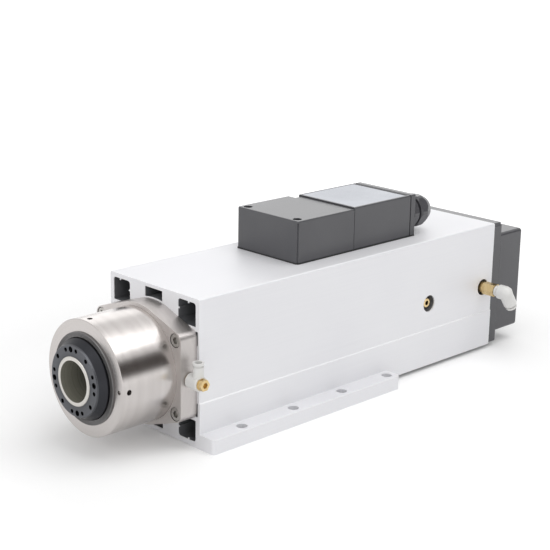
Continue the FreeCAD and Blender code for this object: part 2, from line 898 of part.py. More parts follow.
def add_nose_barrel(body):
    bearing = S.front_bearing_radius + S.seat_gap
    spigot = S.bore_radius - S.seat_gap
    inner = S.front_bearing_radius - S.shoulder_width
    spin(body, [
        (S.recess_radius, NOSE_FRONT), (S.nose_radius - S.chamfer, NOSE_FRONT),
        (S.nose_radius, NOSE_FRONT + S.chamfer), (S.nose_radius, S.overcut - S.flange_thickness),
        (spigot, ZERO), (spigot, S.spigot_length - S.chamfer),
        (spigot - S.chamfer, S.spigot_length), (inner, S.spigot_length), (inner, FRONT_SHOULDER),
        (bearing, FRONT_SHOULDER), (bearing, RECESS_FLOOR), (S.recess_radius, RECESS_FLOOR)])


def flange_screws():
    body = on_axis("nose_flange_screws")
    seat = S.counterbore_depth - S.flange_thickness
    face = seat - S.flange_screw_head_height
    heads = new_sketch(body, "XZ_Plane", face)
    draw_lug_circles(heads, S.flange_screw_head_radius, ZERO)
    extrude(body, heads, S.flange_screw_head_height)
    shanks = new_sketch(body, "XZ_Plane", seat)
    draw_lug_circles(shanks, S.flange_screw_radius - S.seat_gap, ZERO)
    extrude(body, shanks, S.flange_screw_thread - seat - S.flange_screw_end_gap)
    sockets = new_sketch(body, "XZ_Plane", face)
    for side in (-1, 1):
        for lift in (-1, 1):
            draw_polygon(sockets, S.lug_x * side, S.lug_z * lift, S.screw_socket_flats)
    cut(body, sockets, S.flange_screw_head_height / 2)


def grub_screws():
    body = on_axis("nose_grub_screws")
    place = NOSE_FRONT + S.grub_depth
    shank = new_sketch(body, "XY_Plane", S.recess_radius)
    draw_circle(shank, 0, place, S.grub_radius - S.seat_gap)
    first = extrude(body, shank, S.grub_length)
    socket = new_sketch(body, "XY_Plane", S.recess_radius + S.grub_length)
    draw_polygon(socket, ZERO, place, S.grub_radius)
    second = cut(body, socket, S.grub_length / 2, forward=False)
    around(body, [first, second], 4)


def bearing_nut():
    """The grooved ring that is screwed into the nose against the outer bearing rings."""
    body = on_axis("front_bearing_nut")
    inner = S.cone_radius + S.body_gap
    outer = S.recess_radius - S.seat_gap
    front = NOSE_FRONT - S.nut_proud
    floor = front + S.nut_groove_depth
    half = S.nut_groove_width / 2
    pitch = (outer - inner) / (S.nut_groove_count + 1)
    points = [(outer, RECESS_FLOOR), (inner, RECESS_FLOOR), (inner, front)]
    for step in range(int(S.nut_groove_count.value)):
        middle = inner + pitch * (step + 1)
        points += [
            (middle - half, front), (middle - half, floor), (middle + half, floor),
            (middle + half, front)]
    points += [(outer - S.fine_chamfer, front), (outer, front + S.fine_chamfer)]
    spin(body, points)


# Bearings

def front_rows():
    first = RECESS_FLOOR
    return [first, first + S.front_bearing_width + S.front_bearing_spacing]


def rear_rows():
    return [REAR_BEARING_Y, REAR_BEARING_Y + S.rear_bearing_width + S.ring_split]


def bearing_rings(label, rows, width, wall, circle, ball, sign):
    """Rings of a ball bearing with a raceway; sign is 1 for outer rings, -1 for inner ones."""
    body = on_axis(label)
    land = circle + ball * S.ring_land * sign
    race = circle + (ball + S.ball_gap) * sign
    for start in rows:
        middle = start + width / 2
        edge = ball * S.race_edge
        floor = ball * S.race_floor
        spin(body, [
            (wall, start), (land, start), (land, middle - edge), (race, middle - floor),
            (race, middle + floor), (land, middle + edge), (land, start + width),
            (wall, start + width)])


def all_bearings():
    front = (S.front_ball_circle, S.front_ball_radius)
    rear = (S.rear_ball_circle, S.rear_ball_radius)
    seat = S.seat_gap
    bearing_rings("front_bearing_outer_rings", front_rows(), S.front_bearing_width,
                  S.front_bearing_radius, *front, 1)
    bearing_rings("front_bearing_inner_rings", front_rows(), S.front_bearing_width,
                  S.front_bearing_bore + seat, *front, -1)
    bearing_rings("rear_bearing_outer_rings", rear_rows(), S.rear_bearing_width,
                  S.rear_bearing_radius, *rear, 1)
    bearing_rings("rear_bearing_inner_rings", rear_rows(), S.rear_bearing_width,
                  S.rear_bearing_bore + seat, *rear, -1)
    gap_start = RECESS_FLOOR + S.front_bearing_width
    gap_stop = gap_start + S.front_bearing_spacing
    ring("front_outer_spacer", S.front_bearing_radius - S.spacer_wall, S.front_bearing_radius,
         gap_start, gap_stop)
    ring("front_inner_spacer", S.front_bearing_bore + seat, S.front_bearing_bore + S.spacer_wall,
         gap_start, gap_stop)


def rear_carrier():
    """Holds the rear bearings in the housing bore, closed behind by a lip."""
    body = on_axis("rear_bearing_carrier")
    outer = S.bore_radius - S.seat_gap
    bearing = S.rear_bearing_radius + S.seat_gap
    lip = S.rear_bearing_radius - S.carrier_lip_rise
    front = REAR_BEARING_Y - S.carrier_lip
    rear = REAR_PAIR_END + S.carrier_flare
    spin(body, [
        (lip, front), (outer - S.chamfer, front), (outer, front + S.chamfer), (outer, rear),
        (bearing + S.carrier_flare, rear), (bearing, REAR_PAIR_END), (bearing, REAR_BEARING_Y),
        (lip, REAR_BEARING_Y)])
    face = new_sketch(body, "XZ_Plane", front)
    draw_circle(face, 0, S.bore_radius - S.carrier_hole_inset, S.carrier_hole_radius)
    around(body, [cut(body, face, S.carrier_lip)], 4)


# Motor

def stator():
    core = on_axis("stator_core")
    outer = S.bore_radius - S.seat_gap
    add_ring(core, S.stator_inner_radius, outer, S.stator_front_y, STATOR_REAR)
    slot = new_sketch(core, "XZ_Plane", S.stator_front_y)
    half = S.slot_width / 2
    far = S.stator_inner_radius + S.slot_depth
    near_edge = S.stator_inner_radius - S.overcut
    wide = half * S.slot_flare
    draw_outline(slot, [(-half, near_edge), (half, near_edge), (wide, far), (-wide, far)])
    around(core, [cut(core, slot, STATOR_REAR - S.stator_front_y)], S.slot_count)
    windings()


def windings():
    """Copper end turns in front of and behind the core, joined by the bars in its slots."""
    body = on_axis("stator_windings")
    inner = S.stator_inner_radius + S.winding_inset
    slot_floor = S.stator_inner_radius + S.slot_depth
    outer = slot_floor + S.winding_inset
    corner = S.winding_corner
    gap = S.body_gap
    front = S.stator_front_y - S.end_turn_length
    rear = STATOR_REAR + S.end_turn_length
    for start, stop in ((front, S.stator_front_y - gap), (STATOR_REAR + gap, rear)):
        spin(body, [
            (inner + corner, start), (outer - corner, start), (outer, start + corner),
            (outer, stop - corner), (outer - corner, stop), (inner + corner, stop),
            (inner, stop - corner), (inner, start + corner)])
    bar = new_sketch(body, "XZ_Plane", S.stator_front_y - S.end_turn_length / 2)
    half = S.slot_width / 2 - gap
    draw_box(bar, -half, inner, half, slot_floor - gap)
    length = STATOR_REAR - S.stator_front_y + S.end_turn_length
    around(body, [extrude(body, bar, length)], S.slot_count)


def rotor():
    inner = S.rotor_shaft_radius + S.seat_gap
    ring("rotor_core", inner, ROTOR_RADIUS, S.stator_front_y, STATOR_REAR)
    body = on_axis("rotor_end_rings")
    length = S.end_ring_length
    outer = ROTOR_RADIUS - S.end_ring_step
    inner = inner + S.end_ring_gap
    add_ring(body, inner, outer, S.stator_front_y - length, S.stator_front_y)
    add_ring(body, inner, outer, STATOR_REAR, STATOR_REAR + length)


# Spindle shaft, nose ring and tool clamp

def grip_slope():
    """How fast the balls move outwards as the drawbar goes forwards."""
    return S.gripper_ball_travel / S.release_travel


def grip_wall_radius():
    """Radius of the conical wall beside the balls at rest, square to their path."""
    lean = grip_slope().value
    stretch = math.sqrt(1 + lean * lean)
    return S.gripper_ball_reach + (S.gripper_ball_radius + S.ball_gap) * stretch


def spindle_shaft():
    body = on_axis("spindle_shaft")
    sleeve = S.gripper_radius + S.running_clearance
    rest_radius = grip_wall_radius()
    room = S.gripper_ball_radius + S.overcut
    wide_y = S.gripper_ball_y - S.release_travel - room
    wide_radius = rest_radius + grip_slope() * (S.release_travel + room)
    narrow_y = S.gripper_ball_y + (rest_radius - sleeve) / grip_slope()
    step_y = GRIPPER_END + S.gripper_end_gap
    rod = S.drawbar_radius + S.body_gap
    fine = S.fine_chamfer
    rotor_y = S.stator_front_y - S.end_ring_length
    inside = [
        (S.spring_bore_radius, SHAFT_REAR), (S.spring_bore_radius, S.spring_front_y),
        (rod, S.spring_front_y), (rod, step_y + sleeve - rod), (sleeve, step_y),
        (sleeve, narrow_y), (wide_radius, wide_y), (TAPER_END_RADIUS, wide_y),
        (TAPER_END_RADIUS, TAPER_END), (S.taper_mouth_radius, MOUTH_FACE)]
    outside = [
        (S.mouth_ring_radius - fine, MOUTH_FACE), (S.mouth_ring_radius, MOUTH_FACE + fine),
        (S.mouth_ring_radius, SHAFT_STEP), (S.front_bearing_bore, SHAFT_STEP),
        (S.front_bearing_bore, FRONT_SHOULDER), (S.shoulder_radius, FRONT_SHOULDER),
        (S.shoulder_radius, rotor_y - S.shoulder_gap),
        (S.rotor_shaft_radius, rotor_y - S.shoulder_gap / 2),
        (S.rotor_shaft_radius, REAR_BEARING_Y), (S.rear_bearing_bore, REAR_BEARING_Y),
        (S.rear_bearing_bore, SHAFT_REAR - S.chamfer),
        (S.rear_bearing_bore - S.chamfer, SHAFT_REAR)]
    spin(body, outside + inside)


def nose_ring():
    """Dark ring on the shaft's front, with balancing and clamping holes in its face."""
    body = on_axis("nose_ring")
    neck = S.front_bearing_bore + S.ring_neck_wall
    rear = RECESS_FLOOR - S.ring_rear_gap
    fine = S.fine_chamfer
    slide = S.mouth_ring_radius + S.seat_gap
    seat = S.front_bearing_bore + S.seat_gap
    spin(body, [
        (slide, RING_FACE), (S.nose_ring_radius - fine, RING_FACE),
        (S.nose_ring_radius, RING_FACE + fine), (S.nose_ring_radius, RING_FACE + S.ring_lip),
        (S.cone_radius, RING_FACE + S.cone_length), (S.cone_radius, rear), (neck, rear),
        (neck, RECESS_FLOOR), (seat, RECESS_FLOOR), (seat, SHAFT_STEP - S.body_gap),
        (slide, SHAFT_STEP - S.body_gap)])
    holes = new_sketch(body, "XZ_Plane", RING_FACE)
    spread = S.ring_hole_spread.value
    circle = S.ring_hole_circle
    for quarter in (0, 90, 180, 270):
        for offset, radius in (
                (-spread, S.ring_hole_small), (0, S.ring_hole_large),
                (spread, S.ring_hole_small), (45, S.ring_hole_single)):
            angle = math.radians(S.ring_hole_turn.value + quarter + offset)
            draw_circle(holes, circle * math.cos(angle), circle * math.sin(angle), radius)
    cut(body, holes, S.ring_hole_depth)


def lock_nut():
    body = on_axis("rear_lock_nut")
    start = REAR_PAIR_END
    stop = start + S.lock_nut_length
    add_ring(body, S.rear_bearing_bore + S.seat_gap, S.lock_nut_radius, start, stop, S.chamfer)
    notch = new_sketch(body, "XZ_Plane", start)
    half = S.lock_nut_length / 4
    draw_box(notch, -half, S.lock_nut_radius - S.lock_nut_notch, half,
             S.lock_nut_radius + S.overcut)
    around(body, [cut(body, notch, S.lock_nut_length)], 4)


def drawbar():
    """Bar with a hollow gripper head in front, held back by a nut against the disc springs."""
    body = on_axis("drawbar")
    bore = S.pull_stud_bore
    floor = GRIPPER_END - S.gripper_floor
    fine = S.fine_chamfer
    spin(body, [
        (bore, S.gripper_face_y), (S.gripper_radius - fine, S.gripper_face_y),
        (S.gripper_radius, S.gripper_face_y + fine), (S.gripper_radius, GRIPPER_END),
        (S.drawbar_radius, GRIPPER_END), (S.drawbar_radius, DRAWBAR_END - S.chamfer),
        (S.drawbar_radius - S.chamfer, DRAWBAR_END), (ZERO, DRAWBAR_END),
        (ZERO, floor - S.gripper_floor_rise), (bore, floor)])
    pocket = new_sketch(body, "XY_Plane", S.gripper_radius)
    draw_circle(pocket, 0, S.gripper_ball_y, S.gripper_ball_radius + S.running_clearance)
    depth = S.gripper_radius - bore + S.overcut
    around(body, [cut(body, pocket, depth, forward=False)], 4)
    nut = on_axis("drawbar_nut")
    add_ring(nut, S.drawbar_radius + S.seat_gap, S.drawbar_nut_radius,
             SPRING_REAR, SPRING_REAR + S.drawbar_nut_length, S.chamfer)


def disc_springs():
    """Cupped discs in facing pairs, between the shaft's step and the drawbar nut."""
    body = on_axis("disc_springs")
    inner = S.drawbar_radius + S.body_gap
    outer = S.spring_bore_radius - S.body_gap
    thick = S.spring_thickness
    rise = S.spring_pitch - thick
    for step in range(int(S.spring_count.value)):
        start = S.spring_front_y + S.spring_pitch * step
        near_rise, far_rise = (ZERO, rise) if step % 2 else (rise, ZERO)
        spin(body, [
            (inner, start + near_rise), (outer, start + far_rise),
            (outer, start + far_rise + thick), (inner, start + near_rise + thick)])


def gripper_balls():
    """Four balls that close on the tool's pull stud."""
    turns = ((1, 0), (0, 1), (-1, 0), (0, -1))
    for number, (across, up) in enumerate(turns, 1):
        reach = S.gripper_ball_reach
        body = new_piece("gripper_ball_%d" % number, reach * across, S.gripper_ball_y,
                         S.axis_height + reach * up)
        ball = body.newObject("PartDesign::AdditiveSphere", body.Label + "_sphere")
        ball.setExpression("Radius", S.gripper_ball_radius.text)
        DOC.recompute()


# Pneumatic cylinder

def cylinder():
    outer = S.bore_radius - S.seat_gap
    rod = S.piston_rod_radius
    front = on_axis("cylinder_front_wall")
    stop = SLEEVE_FRONT
    seal = S.seal_thickness
    spin(front, [
        (rod + S.running_clearance, FRONT_WALL_Y), (outer - S.chamfer, FRONT_WALL_Y),
        (outer, FRONT_WALL_Y + S.chamfer), (outer, stop), (rod + seal, stop),
        (rod + seal, stop - seal), (rod + S.running_clearance, stop - seal)])
    rear = on_axis("cylinder_rear_wall")
    spin(rear, [
        (ZERO, REAR_WALL_Y), (outer, REAR_WALL_Y), (outer, S.housing_length - S.chamfer),
        (outer - S.chamfer, S.housing_length), (ZERO, S.housing_length)])
    for wall, place in ((front, MID_PORT_Y), (rear, REAR_PORT_Y)):
        for radius, depth in (
                (S.port_thread_radius, S.port_thread_depth),
                (S.port_radius - S.port_face_margin, S.port_face_depth)):
            port = new_sketch(wall, "YZ_Plane", S.bore_radius)
            draw_circle(port, place, S.port_rise, radius)
            cut(wall, port, depth, forward=False)
    ring("cylinder_sleeve", outer - S.sleeve_wall, outer, SLEEVE_FRONT, REAR_WALL_Y)
    ring("rod_seal", rod + S.running_clearance, rod + seal - S.seat_gap,
         SLEEVE_FRONT - seal, SLEEVE_FRONT - S.body_gap)


def piston():
    body = on_axis("piston")
    radius = PISTON_RADIUS - S.body_gap / 3
    front = PISTON_REAR - S.piston_length
    groove_y = front + S.piston_length / 2
    seal = S.seal_thickness
    rod = S.piston_rod_radius
    face = DRAWBAR_END + S.push_gap
    edge = S.chamfer
    spin(body, [
        (ZERO, face), (rod - edge, face), (rod, face + edge), (rod, front), (radius - edge, front),
        (radius, front + edge), (radius, groove_y - seal / 2),
        (radius - seal, groove_y - seal / 2), (radius - seal, groove_y + seal / 2),
        (radius, groove_y + seal / 2), (radius, PISTON_REAR - edge),
        (radius - edge, PISTON_REAR), (ZERO, PISTON_REAR)])
    seat = S.seat_gap
    ring("piston_seal", radius - seal + seat, PISTON_RADIUS, groove_y - seal / 2 + seat,
         groove_y + seal / 2 - seat)


# Rear plate, cover and fan

def rear_plate():
    body = on_axis("rear_plate")
    plate = new_sketch(body, "XZ_Plane", S.housing_length)
    low = S.rear_plate_bottom_step - S.axis_height
    draw_box(plate, -HALF_WIDTH, low, HALF_WIDTH, TOP_RISE - S.rear_plate_top_step)
    extrude(body, plate, S.rear_plate_thickness)
    round_edges(body, S.outer_corner, lambda edge: runs_along(edge, 1))
    windows = new_sketch(body, "XZ_Plane", S.housing_length)
    window_near = S.channel_near_z - S.window_margin
    for side in (-1, 1):
        for lift, far in ((1, COVER_TOP), (-1, COVER_BOTTOM)):
            window_far = (far - S.cover_wall) * lift
            draw_box(windows, CHANNEL_INNER_X * side, window_near * lift,
                     CHANNEL_OUTER_X * side, window_far)
    cut(body, windows, S.rear_plate_thickness)


def rear_cover():
    """Shell over the fan, its rear wall opened by ring slots with two crossing spokes."""
    body = on_axis("rear_cover")
    shell = new_sketch(body, "XZ_Plane", COVER_FRONT)
    draw_box(shell, -HALF_WIDTH, -COVER_BOTTOM, HALF_WIDTH, COVER_TOP)
    extrude(body, shell, S.cover_length)
    round_edges(body, S.cover_corner, lambda edge: (
        runs_along(edge, 1) or near(edge.BoundBox.YMin, COVER_REAR)))
    wall = S.cover_wall
    inside = new_sketch(body, "XZ_Plane", COVER_FRONT)
    draw_box(inside, wall - HALF_WIDTH, wall - COVER_BOTTOM, HALF_WIDTH - wall, COVER_TOP - wall)
    cut(body, inside, S.cover_length - wall)
    slots = new_sketch(body, "XZ_Plane", COVER_REAR - wall)
    pitch = S.guard_slot + S.guard_rib
    for step in range(int(S.guard_slot_count.value)):
        radius = S.guard_hub_radius + pitch * step
        draw_circle(slots, 0, 0, radius)
        draw_circle(slots, 0, 0, radius + S.guard_slot)
    cut(body, slots, wall)
    spokes = new_sketch(body, "XZ_Plane", COVER_REAR - wall)
    reach = S.guard_hub_radius + pitch * S.guard_slot_count
    half = S.guard_spoke / 2
    draw_outline(spokes, [
        (-half, -reach), (half, -reach), (half, -half), (reach, -half), (reach, half), (half, half),
        (half, reach), (-half, reach), (-half, half), (-reach, half), (-reach, -half),
        (-half, -half)])
    extrude(body, spokes, wall)
    drill_fan_screws(body, COVER_REAR - wall, wall)


def fan():
    """Square frame with the motor plate on its arms, and the impeller on the motor's shaft."""
    frame = on_axis("fan_frame")
    half = S.fan_frame / 2
    outline = new_sketch(frame, "XZ_Plane", FAN_FRONT)
    draw_box(outline, -half, -half, half, half)
    draw_circle(outline, 0, 0, FAN_RADIUS)
    extrude(frame, outline, S.fan_depth)
    round_edges(frame, S.cover_corner, lambda edge: (
        runs_along(edge, 1) and near(abs(edge.Vertexes[0].X), half)))
    motor = new_sketch(frame, "XZ_Plane", FAN_FRONT)
    draw_circle(motor, 0, 0, S.fan_hub_radius)
    extrude(frame, motor, S.fan_plate)
    half_arm = S.fan_arm_width / 2
    reach = FAN_RADIUS + S.fan_arm_bite
    for across, up in ((half_arm, reach), (reach, half_arm)):
        arms = new_sketch(frame, "XZ_Plane", FAN_FRONT)
        draw_box(arms, -across, -up, across, up)
        extrude(frame, arms, S.fan_plate)
    drill_fan_screws(frame, FAN_FRONT, S.fan_depth)
    hub_front = FAN_FRONT + S.fan_plate + S.fan_tip_gap
    hub_rear = FAN_FRONT + S.fan_depth - S.fan_tip_gap
    fan_impeller(hub_front, hub_rear)
    shaft = on_axis("fan_shaft")
    shaft_end = hub_rear - S.fan_hub_wall - S.body_gap
    spin(shaft, [
        (ZERO, FAN_FRONT + S.fan_plate), (S.fan_shaft_radius, FAN_FRONT + S.fan_plate),
        (S.fan_shaft_radius, shaft_end), (ZERO, shaft_end)])


def fan_impeller(front, rear):
    """A hollow hub with pitched blades."""
    body = on_axis("fan_impeller")
    inner = S.fan_hub_radius - S.fan_hub_wall
    edge = S.fan_hub_chamfer
    floor = rear - S.fan_hub_wall
    spin(body, [
        (inner, front), (S.fan_hub_radius, front), (S.fan_hub_radius, rear - edge),
        (S.fan_hub_radius - edge, rear), (ZERO, rear), (ZERO, floor), (inner, floor)])
    around(body, [fan_blade(body, front, rear)], S.fan_blade_count)


def fan_blade(body, front, rear):
    """One pitched blade, lofted from a steep root section to a flatter tip section."""
    sections = []
    middle = (front + rear) / 2
    root = S.fan_hub_radius - S.fan_blade_root_bite
    tip = FAN_RADIUS - S.fan_tip_gap
    for reach, pitch in ((root, S.fan_blade_root_pitch), (tip, S.fan_blade_tip_pitch)):
        sketch = new_sketch(body, "XY_Plane", reach)
        along = math.cos(math.radians(pitch.value))
        up = math.sin(math.radians(pitch.value))
        half = S.fan_blade_chord / 2
        thick = S.fan_blade_thickness / 2
        corners = []
        for chord, side in ((-1, -1), (1, -1), (1, 1), (-1, 1)):
            corners.append((
                half * (chord * along) - thick * (side * up),
                middle + half * (chord * up) + thick * (side * along)))
        draw_outline(sketch, corners)
        sections.append(sketch)
    loft = body.newObject("PartDesign::AdditiveLoft", "fan_blade")
    loft.Profile = sections[0]
    loft.Sections = [sections[1]]
    loft.Ruled = True
    DOC.recompute()
    return loft


# Terminal box, hood and cable gland

def box_outline(inset):
    """The box from above, with the notch in its rear left corner."""
    rear = BOX_REAR - inset
    left = BOX_LEFT + inset
    return [
        (left, S.box_front_y + inset), (BOX_RIGHT - inset, S.box_front_y + inset),
        (BOX_RIGHT - inset, rear), (left + S.box_notch_x, rear),
        (left + S.box_notch_x, rear - S.box_notch_y), (left, rear - S.box_notch_y)]


def box_screw_places():
    place = S.box_front_y + S.box_screw_setback
    return [(S.box_centre_x + S.box_screw_offset * side, place) for side in (-1, 1)]


def draw_box_circles(sketch, radius):
    for x, y in box_screw_places():
        draw_circle(sketch, x, y, radius)


def terminal_box():
    """Box over the wire hole: a screw well in each front corner, and a window to the hood."""
    body = new_piece("terminal_box")
    height = S.box_height - S.gasket_thickness
    shell = new_sketch(body, "XY_Plane", BOX_BASE)
    draw_outline(shell, box_outline(ZERO))
    extrude(body, shell, height)
    round_edges(body, S.box_corner, lambda edge: (
        runs_along(edge, 2) and near(edge.Vertexes[0].Y, S.box_front_y)
        and near(edge.Vertexes[0].X, BOX_LEFT)))
    round_edges(body, S.box_edge, lambda edge: (
        near(edge.BoundBox.ZMin, BOX_TOP) and not near(edge.BoundBox.YMin, BOX_REAR)))
    corner = new_sketch(body, "XY_Plane", BOX_BASE)
    width = S.box_corner_groove
    draw_box(corner, BOX_RIGHT - width, S.box_front_y - S.overcut, BOX_RIGHT + S.overcut,
             S.box_front_y + width)
    cut(body, corner, height - S.box_corner_groove_top)
    inside = new_sketch(body, "XY_Plane", BOX_BASE)
    draw_outline(inside, box_outline(S.box_wall))
    cut(body, inside, height - S.box_wall)
    posts = new_sketch(body, "XY_Plane", BOX_BASE)
    draw_box_circles(posts, S.box_screw_well_radius + S.box_post_wall)
    extrude(body, posts, height - S.box_wall)
    wells = new_sketch(body, "XY_Plane", BOX_TOP)
    draw_box_circles(wells, S.box_screw_well_radius)
    cut(body, wells, height - S.box_screw_well_floor, forward=False)
    shanks = new_sketch(body, "XY_Plane", BOX_TOP)
    draw_box_circles(shanks, S.box_screw_clear_radius)
    cut(body, shanks, height, forward=False)
    window = new_sketch(body, "XZ_Plane", BOX_REAR - S.box_wall)
    middle = S.box_centre_x + S.wire_window_shift
    draw_box(window, middle - S.wire_window_width / 2, BOX_BASE + S.wire_window_low,
             middle + S.wire_window_width / 2, BOX_BASE + S.wire_window_high)
    cut(body, window, S.box_wall)


def box_screws():
    body = new_piece("terminal_box_screws")
    seat = BOX_BASE + S.box_screw_well_floor
    end = S.housing_height - S.box_thread_depth + S.box_screw_end_gap
    heads = new_sketch(body, "XY_Plane", seat)
    draw_box_circles(heads, S.box_screw_head_radius)
    extrude(body, heads, S.box_screw_head_height)
    shanks = new_sketch(body, "XY_Plane", end)
    draw_box_circles(shanks, S.box_thread_radius - S.seat_gap)
    extrude(body, shanks, seat - end)
    sockets = new_sketch(body, "XY_Plane", seat + S.box_screw_head_height)
    for x, y in box_screw_places():
        draw_polygon(sockets, x, y, S.box_screw_socket_flats)
    cut(body, sockets, S.box_screw_socket_depth, forward=False)


def box_gasket():
    body = new_piece("terminal_box_gasket")
    sheet = new_sketch(body, "XY_Plane", S.housing_height)
    over = S.gasket_overhang
    rim = S.gasket_rim
    left = BOX_LEFT - over
    hood_left = HOOD_LEFT - over
    right = BOX_RIGHT + over
    front = S.box_front_y - over
    draw_outline(sheet, [
        (left, front), (right, front), (right, PLATE_REAR), (hood_left, PLATE_REAR),
        (hood_left, HOOD_FRONT), (left, HOOD_FRONT)])
    draw_box(sheet, BOX_LEFT + rim, S.box_front_y + S.gasket_front_rim, BOX_RIGHT - rim,
             HOOD_FRONT - rim)
    draw_box_circles(sheet, S.box_screw_clear_radius)
    extrude(body, sheet, S.gasket_thickness)


def hood():
    """Square tube behind the box, closed by a plate that steps into its rear gap."""
    body = new_piece("connector_hood")
    face = new_sketch(body, "XZ_Plane", HOOD_FRONT)
    draw_box(face, HOOD_LEFT, BOX_BASE, BOX_RIGHT, HOOD_TOP)
    extrude(body, face, S.hood_length)
    round_edges(body, S.hood_corner, is_hood_top_edge)
    wall = S.box_wall
    inside = new_sketch(body, "XZ_Plane", HOOD_FRONT)
    draw_box(inside, HOOD_LEFT + wall, BOX_BASE + wall, BOX_RIGHT - wall, HOOD_TOP - wall)
    cut(body, inside, S.hood_length)
    plate = new_piece("hood_end_plate")
    outline = new_sketch(plate, "XZ_Plane", PLATE_FRONT)
    draw_box(outline, HOOD_LEFT, BOX_BASE, BOX_RIGHT, HOOD_TOP)
    extrude(plate, outline, S.end_plate_thickness)
    round_edges(plate, S.hood_corner, is_hood_top_edge)
    step = new_sketch(plate, "XZ_Plane", HOOD_REAR)
    inset = S.end_plate_inset
    draw_box(step, HOOD_LEFT + inset, BOX_BASE + inset, BOX_RIGHT - inset, HOOD_TOP - inset)
    extrude(plate, step, S.end_plate_gap)
    hole = new_sketch(plate, "XZ_Plane", HOOD_REAR)
    draw_circle(hole, S.gland_x, GLAND_Z, S.gland_thread_radius + S.seat_gap)
    cut(plate, hole, S.end_plate_gap + S.end_plate_thickness)


def is_hood_top_edge(edge):
    return runs_along(edge, 1) and near(edge.Vertexes[0].Z, HOOD_TOP)


def terminal_block():
    body = new_piece("terminal_block")
    left = S.box_centre_x - S.terminal_length / 2
    block = new_sketch(body, "YZ_Plane", left)
    low = S.housing_height
    high = low + S.terminal_height
    front = S.box_front_y + S.terminal_setback
    rear = front + S.terminal_depth
    shoulder = high - S.terminal_shoulder
    slope = S.terminal_slope
    draw_outline(block, [
        (front, low), (rear, low), (rear, shoulder), (rear - slope, high), (front + slope, high),
        (front, shoulder)])
    extrude(body, block, S.terminal_length)
    pitch = S.terminal_length / S.terminal_count
    screws = new_sketch(body, "XY_Plane", high)
    draw_circle(screws, left + pitch / 2, front + S.terminal_depth / 2, S.terminal_screw_radius)
    first = cut(body, screws, S.terminal_shoulder, forward=False)
    row = body.newObject("PartDesign::LinearPattern", "terminal_row")
    row.Originals = [first]
    row.Direction = (origin_feature(body, "X_Axis"), [""])
    row.setExpression("Length", (S.terminal_length - pitch).text)
    row.setExpression("Occurrences", S.terminal_count.text)
    body.Tip = row
    DOC.recompute()


def gland():
    """Cable gland in the end plate: a hexagon body, a hexagon dome nut and a rubber seal."""
    hex_rear = PLATE_REAR + S.gland_hex_length
    nut_front = hex_rear + S.gland_nut_gap
    nut_rear = nut_front + S.gland_nut_length
    body = new_piece("gland_body", S.gland_x, ZERO, GLAND_Z)
    thread = S.gland_thread_radius
    bore = S.gland_bore_radius + S.gland_wall
    front = HOOD_REAR - S.gland_inner_length
    end = nut_front + S.gland_thread_reach
    cone = S.gland_thread_cone
    spin(body, [
        (bore, front), (thread - S.chamfer, front), (thread, front + S.chamfer),
        (thread, end - cone), (thread - cone, end), (bore, end)])
    hexagon = new_sketch(body, "XZ_Plane", PLATE_REAR)
    draw_polygon(hexagon, ZERO, ZERO, S.gland_flats)
    draw_circle(hexagon, 0, 0, (bore + thread) / 2)
    extrude(body, hexagon, S.gland_hex_length)
    flats = S.gland_flats / 2
    corner = S.gland_corner_radius
    outside = flats * 1.2
    groove(body, [
        (corner, PLATE_REAR), (corner, hex_rear - S.gland_corner_chamfer), (flats, hex_rear),
        (flats, hex_rear + S.overcut), (outside, hex_rear + S.overcut), (outside, PLATE_REAR)])
    gland_nut(nut_front, nut_front + S.gland_nut_length)
    seal = new_piece("gland_seal", S.gland_x, ZERO, GLAND_Z)
    add_ring(seal, S.gland_bore_radius, bore - S.seat_gap, nut_front - cone, end)


def gland_nut(front, rear):
    """Hexagon nut with its corners turned down, that becomes a dome towards the cable."""
    body = new_piece("gland_nut", S.gland_x, ZERO, GLAND_Z)
    outline = new_sketch(body, "XZ_Plane", front)
    draw_polygon(outline, ZERO, ZERO, S.gland_flats)
    extrude(body, outline, S.gland_nut_length)
    flats = S.gland_flats / 2
    corner = S.gland_corner_radius
    outside = flats * 1.2
    before = front - S.overcut
    past = rear + S.overcut
    shoulder = front + S.gland_nut_cylinder
    lip = rear - S.gland_nut_lip
    groove(body, [
        (flats, before), (flats, front), (corner, front + S.gland_corner_chamfer),
        (corner, shoulder), (flats, front + S.gland_dome_start),
        (flats * 0.8, rear - S.gland_nut_lip / 2), (flats * 0.6, rear), (flats * 0.6, past),
        (outside, past), (outside, before)])
    thread = S.gland_thread_radius + S.running_clearance
    groove(body, [
        (ZERO, before), (thread, before), (thread, shoulder), (S.gland_bore_radius, lip),
        (S.gland_bore_radius, past), (ZERO, past)])


# Air fittings

TO_RIGHT = FreeCAD.Rotation(vector(0, 0, 1), -90)


def port_piece(label, y, z, tilt=0):
    """A body whose own Y axis points to the right, for what is turned about X."""
    lean = FreeCAD.Rotation(vector(1, 0, 0), tilt)
    return new_piece(label, ZERO, y, z, turn=lean.multiply(TO_RIGHT))


